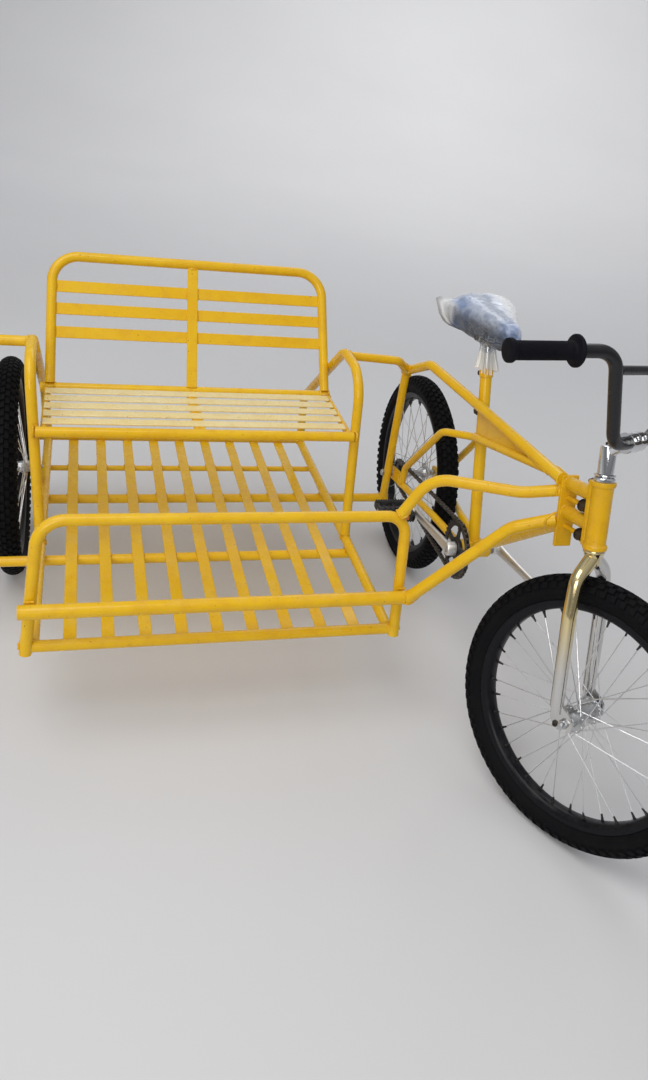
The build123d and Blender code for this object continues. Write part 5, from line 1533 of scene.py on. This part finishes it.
n1 = round((back_j[0] - joints[-1]).length / 12.7)
n2 = round((joints[0] - back_j[-1]).length / 12.7)
count = len(joints) + len(back_j) + n1 - 1 + n2 - 1
if count % 2:
    n2 += 1 if (joints[0] - back_j[-1]).length / 12.7 > n2 else -1
joints = joints + between(joints[-1], back_j[0], n1) + back_j + between(back_j[-1], joints[0], n2)
print("chain joints", len(joints))
geo = G()
nj = len(joints)
for i in range(nj):
    a, b = joints[i], joints[(i + 1) % nj]
    Mr = Matrix.Translation(a)
    geo.lathe([(-2.3, 1.9), (-2.3, 3.7), (-2.0, 3.9), (2.0, 3.9), (2.3, 3.7), (2.3, 1.9)], 14, 0, True, Mr)
    geo.solid_lathe([(-4.3, 1.4), (-4.0, 1.9), (4.0, 1.9), (4.3, 1.4)], 10, 1, Mr)
    d = b - a
    L = d.length
    u = d.normalized()
    w = Vector((1, 0, 0)).cross(u)
    out = []
    for k in range(9):
        t = pi / 2 + pi * k / 8
        out.append((3.9 * cos(t), 3.9 * sin(t)))
    out += [(L * 0.35, -2.9), (L * 0.65, -2.9)]
    for k in range(9):
        t = -pi / 2 + pi * k / 8
        out.append((L + 3.9 * cos(t), 3.9 * sin(t)))
    out += [(L * 0.65, 2.9), (L * 0.35, 2.9)]
    xs = ((2.5, 3.2),) if i % 2 else ((3.3, 4.0),)
    for x0, x1 in xs:
        for s in (-1, 1):
            k = len(out)
            verts = [a + Vector((s * x, 0, 0)) + u * p + w * q for x in (x0, x1) for p, q in out]
            faces = [tuple(range(k)), tuple(range(k, 2 * k))[::-1]] + [(m_, (m_ + 1) % k, k + (m_ + 1) % k, k + m_) for m_ in range(k)]
            geo.add(verts, faces, 0)
make("chain_links", geo, [CHAIN, BOLT], "vehicle_frame", ["chain"], 30)

# pedals: moulded body, ribbed tread and an amber lens in each long side
for side, name in ((-1, "right_pedal"), (1, "left_pedal")):
    ey = BB.y - side * 170.0
    Mp = Matrix.Translation((0, ey, BB.z))
    geo = G(Mp)
    x0, x1 = (92.8, 173.8) if side > 0 else (-173.8, -92.8)
    geo.lathe([(x0, 5.0), (x0, 9.4), (x0 + 1, 10.2), (x1 - 1, 10.2), (x1, 9.4), (x1, 5.0)], 32, 0)
    for s in (-1, 1):
        ya, yb = sorted((s * 24.5, s * 35.6))
        geo.box((x0 + 1.0, ya, -10.0), (x1 - 1.0, yb, 10.0), 0, ch=1.6)
        n = 13
        for k in range(n):
            cx = x0 + 4 + (x1 - x0 - 8) * k / (n - 1)
            for z in (-1, 1):
                za, zb = sorted((z * 9.4, z * 11.8))
                geo.box((cx - 1.7, ya + 0.8, za), (cx + 1.7, yb - 0.8, zb), 0, ch=0.7)
        mx = (x0 + x1) / 2
        yl, yh = sorted((s * 35.0, s * 36.4))
        geo.box((mx - 25, yl, -5.6), (mx + 25, yh, 5.6), 1, ch=0.5)
        for z in (-1, 1):
            za, zb = sorted((z * 6.0, z * 8.0))
            geo.box((mx - 27.5, yl - 0.3, za), (mx + 27.5, yh + 0.2, zb), 0, ch=0.5)
    for xa, xb in ((x0, x0 + 9), (x1 - 9, x1)):
        geo.box((xa, -35.6, -7.6), (xb, 35.6, 7.6), 0, ch=1.8)
    geo.box(((x0 + x1) / 2 - 3, -30, -6), ((x0 + x1) / 2 + 3, 30, 6), 0, ch=1.0)
    for k in range(5):
        cx = x0 + 14 + (x1 - x0 - 28) * k / 4
        for z in (-1, 1):
            za, zb = sorted((z * 9.0, z * 11.4))
            geo.box((cx - 1.5, -8, za), (cx + 1.5, 8, zb), 0, ch=0.6)
    end = x1 if side > 0 else x0
    geo.solid_lathe([(end - side * 1.0, 9.0), (end + side * 0.2, 8.6), (end + side * 1.2, 6.0), (end + side * 1.4, 1.0)], 26, 2)
    make(name + "_moulded", geo, [PLASTIC, AMBER, DARK], name, [name], 30)

# ------------------------------------------------------------------ floor and light
geo_v, geo_f = [], []
prof = [(-30.0, 0.0), (6.0, 0.0)]
for k in range(1, 25):
    a = radians(90 * k / 24)
    prof.append((6.0 + 6.0 * sin(a), 6.0 * (1 - cos(a))))
prof.append((12.0, 14.0))
swv = Vector((sin(YAW), cos(YAW), 0))
sws = Vector((cos(YAW), -sin(YAW), 0))
for s_, z_ in prof:
    for w_ in (-40.0, 40.0):
        q = swv * s_ + sws * w_
        geo_v.append((q.x, q.y, z_))
for i in range(len(prof) - 1):
    geo_f.append((2 * i, 2 * i + 1, 2 * i + 3, 2 * i + 2))
floor_me = bpy.data.meshes.new("studio_floor")
floor_me.from_pydata(geo_v, [], geo_f)
floor_me.polygons.foreach_set("use_smooth", [True] * len(geo_f))
floor = bpy.data.objects.new("studio_floor", floor_me)
bpy.context.scene.collection.objects.link(floor)
m, nt, bs = new_mat("studio_floor_pale")
v = coords(nt)
a = noise_tex(nt, v, 0.7, 3.0, 0.5)
c = mix(nt, ramp(nt, a, [(0.3, g(0)), (0.75, g(1))]), (0.655, 0.652, 0.660, 1), (0.685, 0.682, 0.688, 1))
nt.links.new(c, bs.inputs["Base Color"])
bs.inputs["Roughness"].default_value = 0.85
bs.inputs["Specular IOR Level"].default_value = 0.2
bump(nt, bs, noise_tex(nt, v, 120.0, 3.0, 0.6), 0.08, 0.001)
floor_me.materials.append(m)

world = bpy.data.worlds.new("studio_world")
bpy.context.scene.world = world
world.use_nodes = True
wn = world.node_tree
bg = wn.nodes["Background"]
tc = wn.nodes.new("ShaderNodeTexCoord")
sp = wn.nodes.new("ShaderNodeSeparateXYZ")
wn.links.new(tc.outputs["Generated"], sp.inputs[0])
rmp = wn.nodes.new("ShaderNodeValToRGB")
rmp.color_ramp.elements[0].position, rmp.color_ramp.elements[0].color = 0.0, (0.34, 0.34, 0.36, 1)
rmp.color_ramp.elements[1].position, rmp.color_ramp.elements[1].color = 1.0, (0.95, 0.97, 1.0, 1)
e = rmp.color_ramp.elements.new(0.3)
e.color = (0.60, 0.62, 0.66, 1)
wn.links.new(sp.outputs["Z"], rmp.inputs["Fac"])
wn.links.new(rmp.outputs["Color"], bg.inputs["Color"])
bg.inputs["Strength"].default_value = 0.54


def area(name, loc, target, size, power, colour=(1, 1, 1)):
    ld = bpy.data.lights.new(name, "AREA")
    ld.shape = "RECTANGLE"
    ld.size, ld.size_y = size
    ld.energy = power
    ld.color = colour
    ob = bpy.data.objects.new(name, ld)
    bpy.context.scene.collection.objects.link(ob)
    d = Vector(target) - Vector(loc)
    ob.matrix_world = Matrix.Translation(loc) @ d.to_track_quat("-Z", "Y").to_matrix().to_4x4()
    return ob


area("key_light", (-1.6, -1.0, 4.4), (0.0, 0.0, 0.3), (3.4, 2.6), 82, (1.0, 0.99, 0.97))
area("front_light", (-2.3, -4.0, 2.4), (0.0, -0.2, 0.4), (3.0, 2.2), 72, (1.0, 0.985, 0.96))
area("back_light", (1.8, 3.2, 4.0), (0.0, 0.0, 0.4), (3.0, 2.0), 34, (0.95, 0.97, 1.0))
area("sweep_light", (2.2, 5.0, 5.5), (3.3, 10.0, 2.6), (4.5, 3.0), 260)

vs = bpy.context.scene.view_settings
vs.view_transform = "Standard"
vs.look = "None"
vs.exposure = 0.0
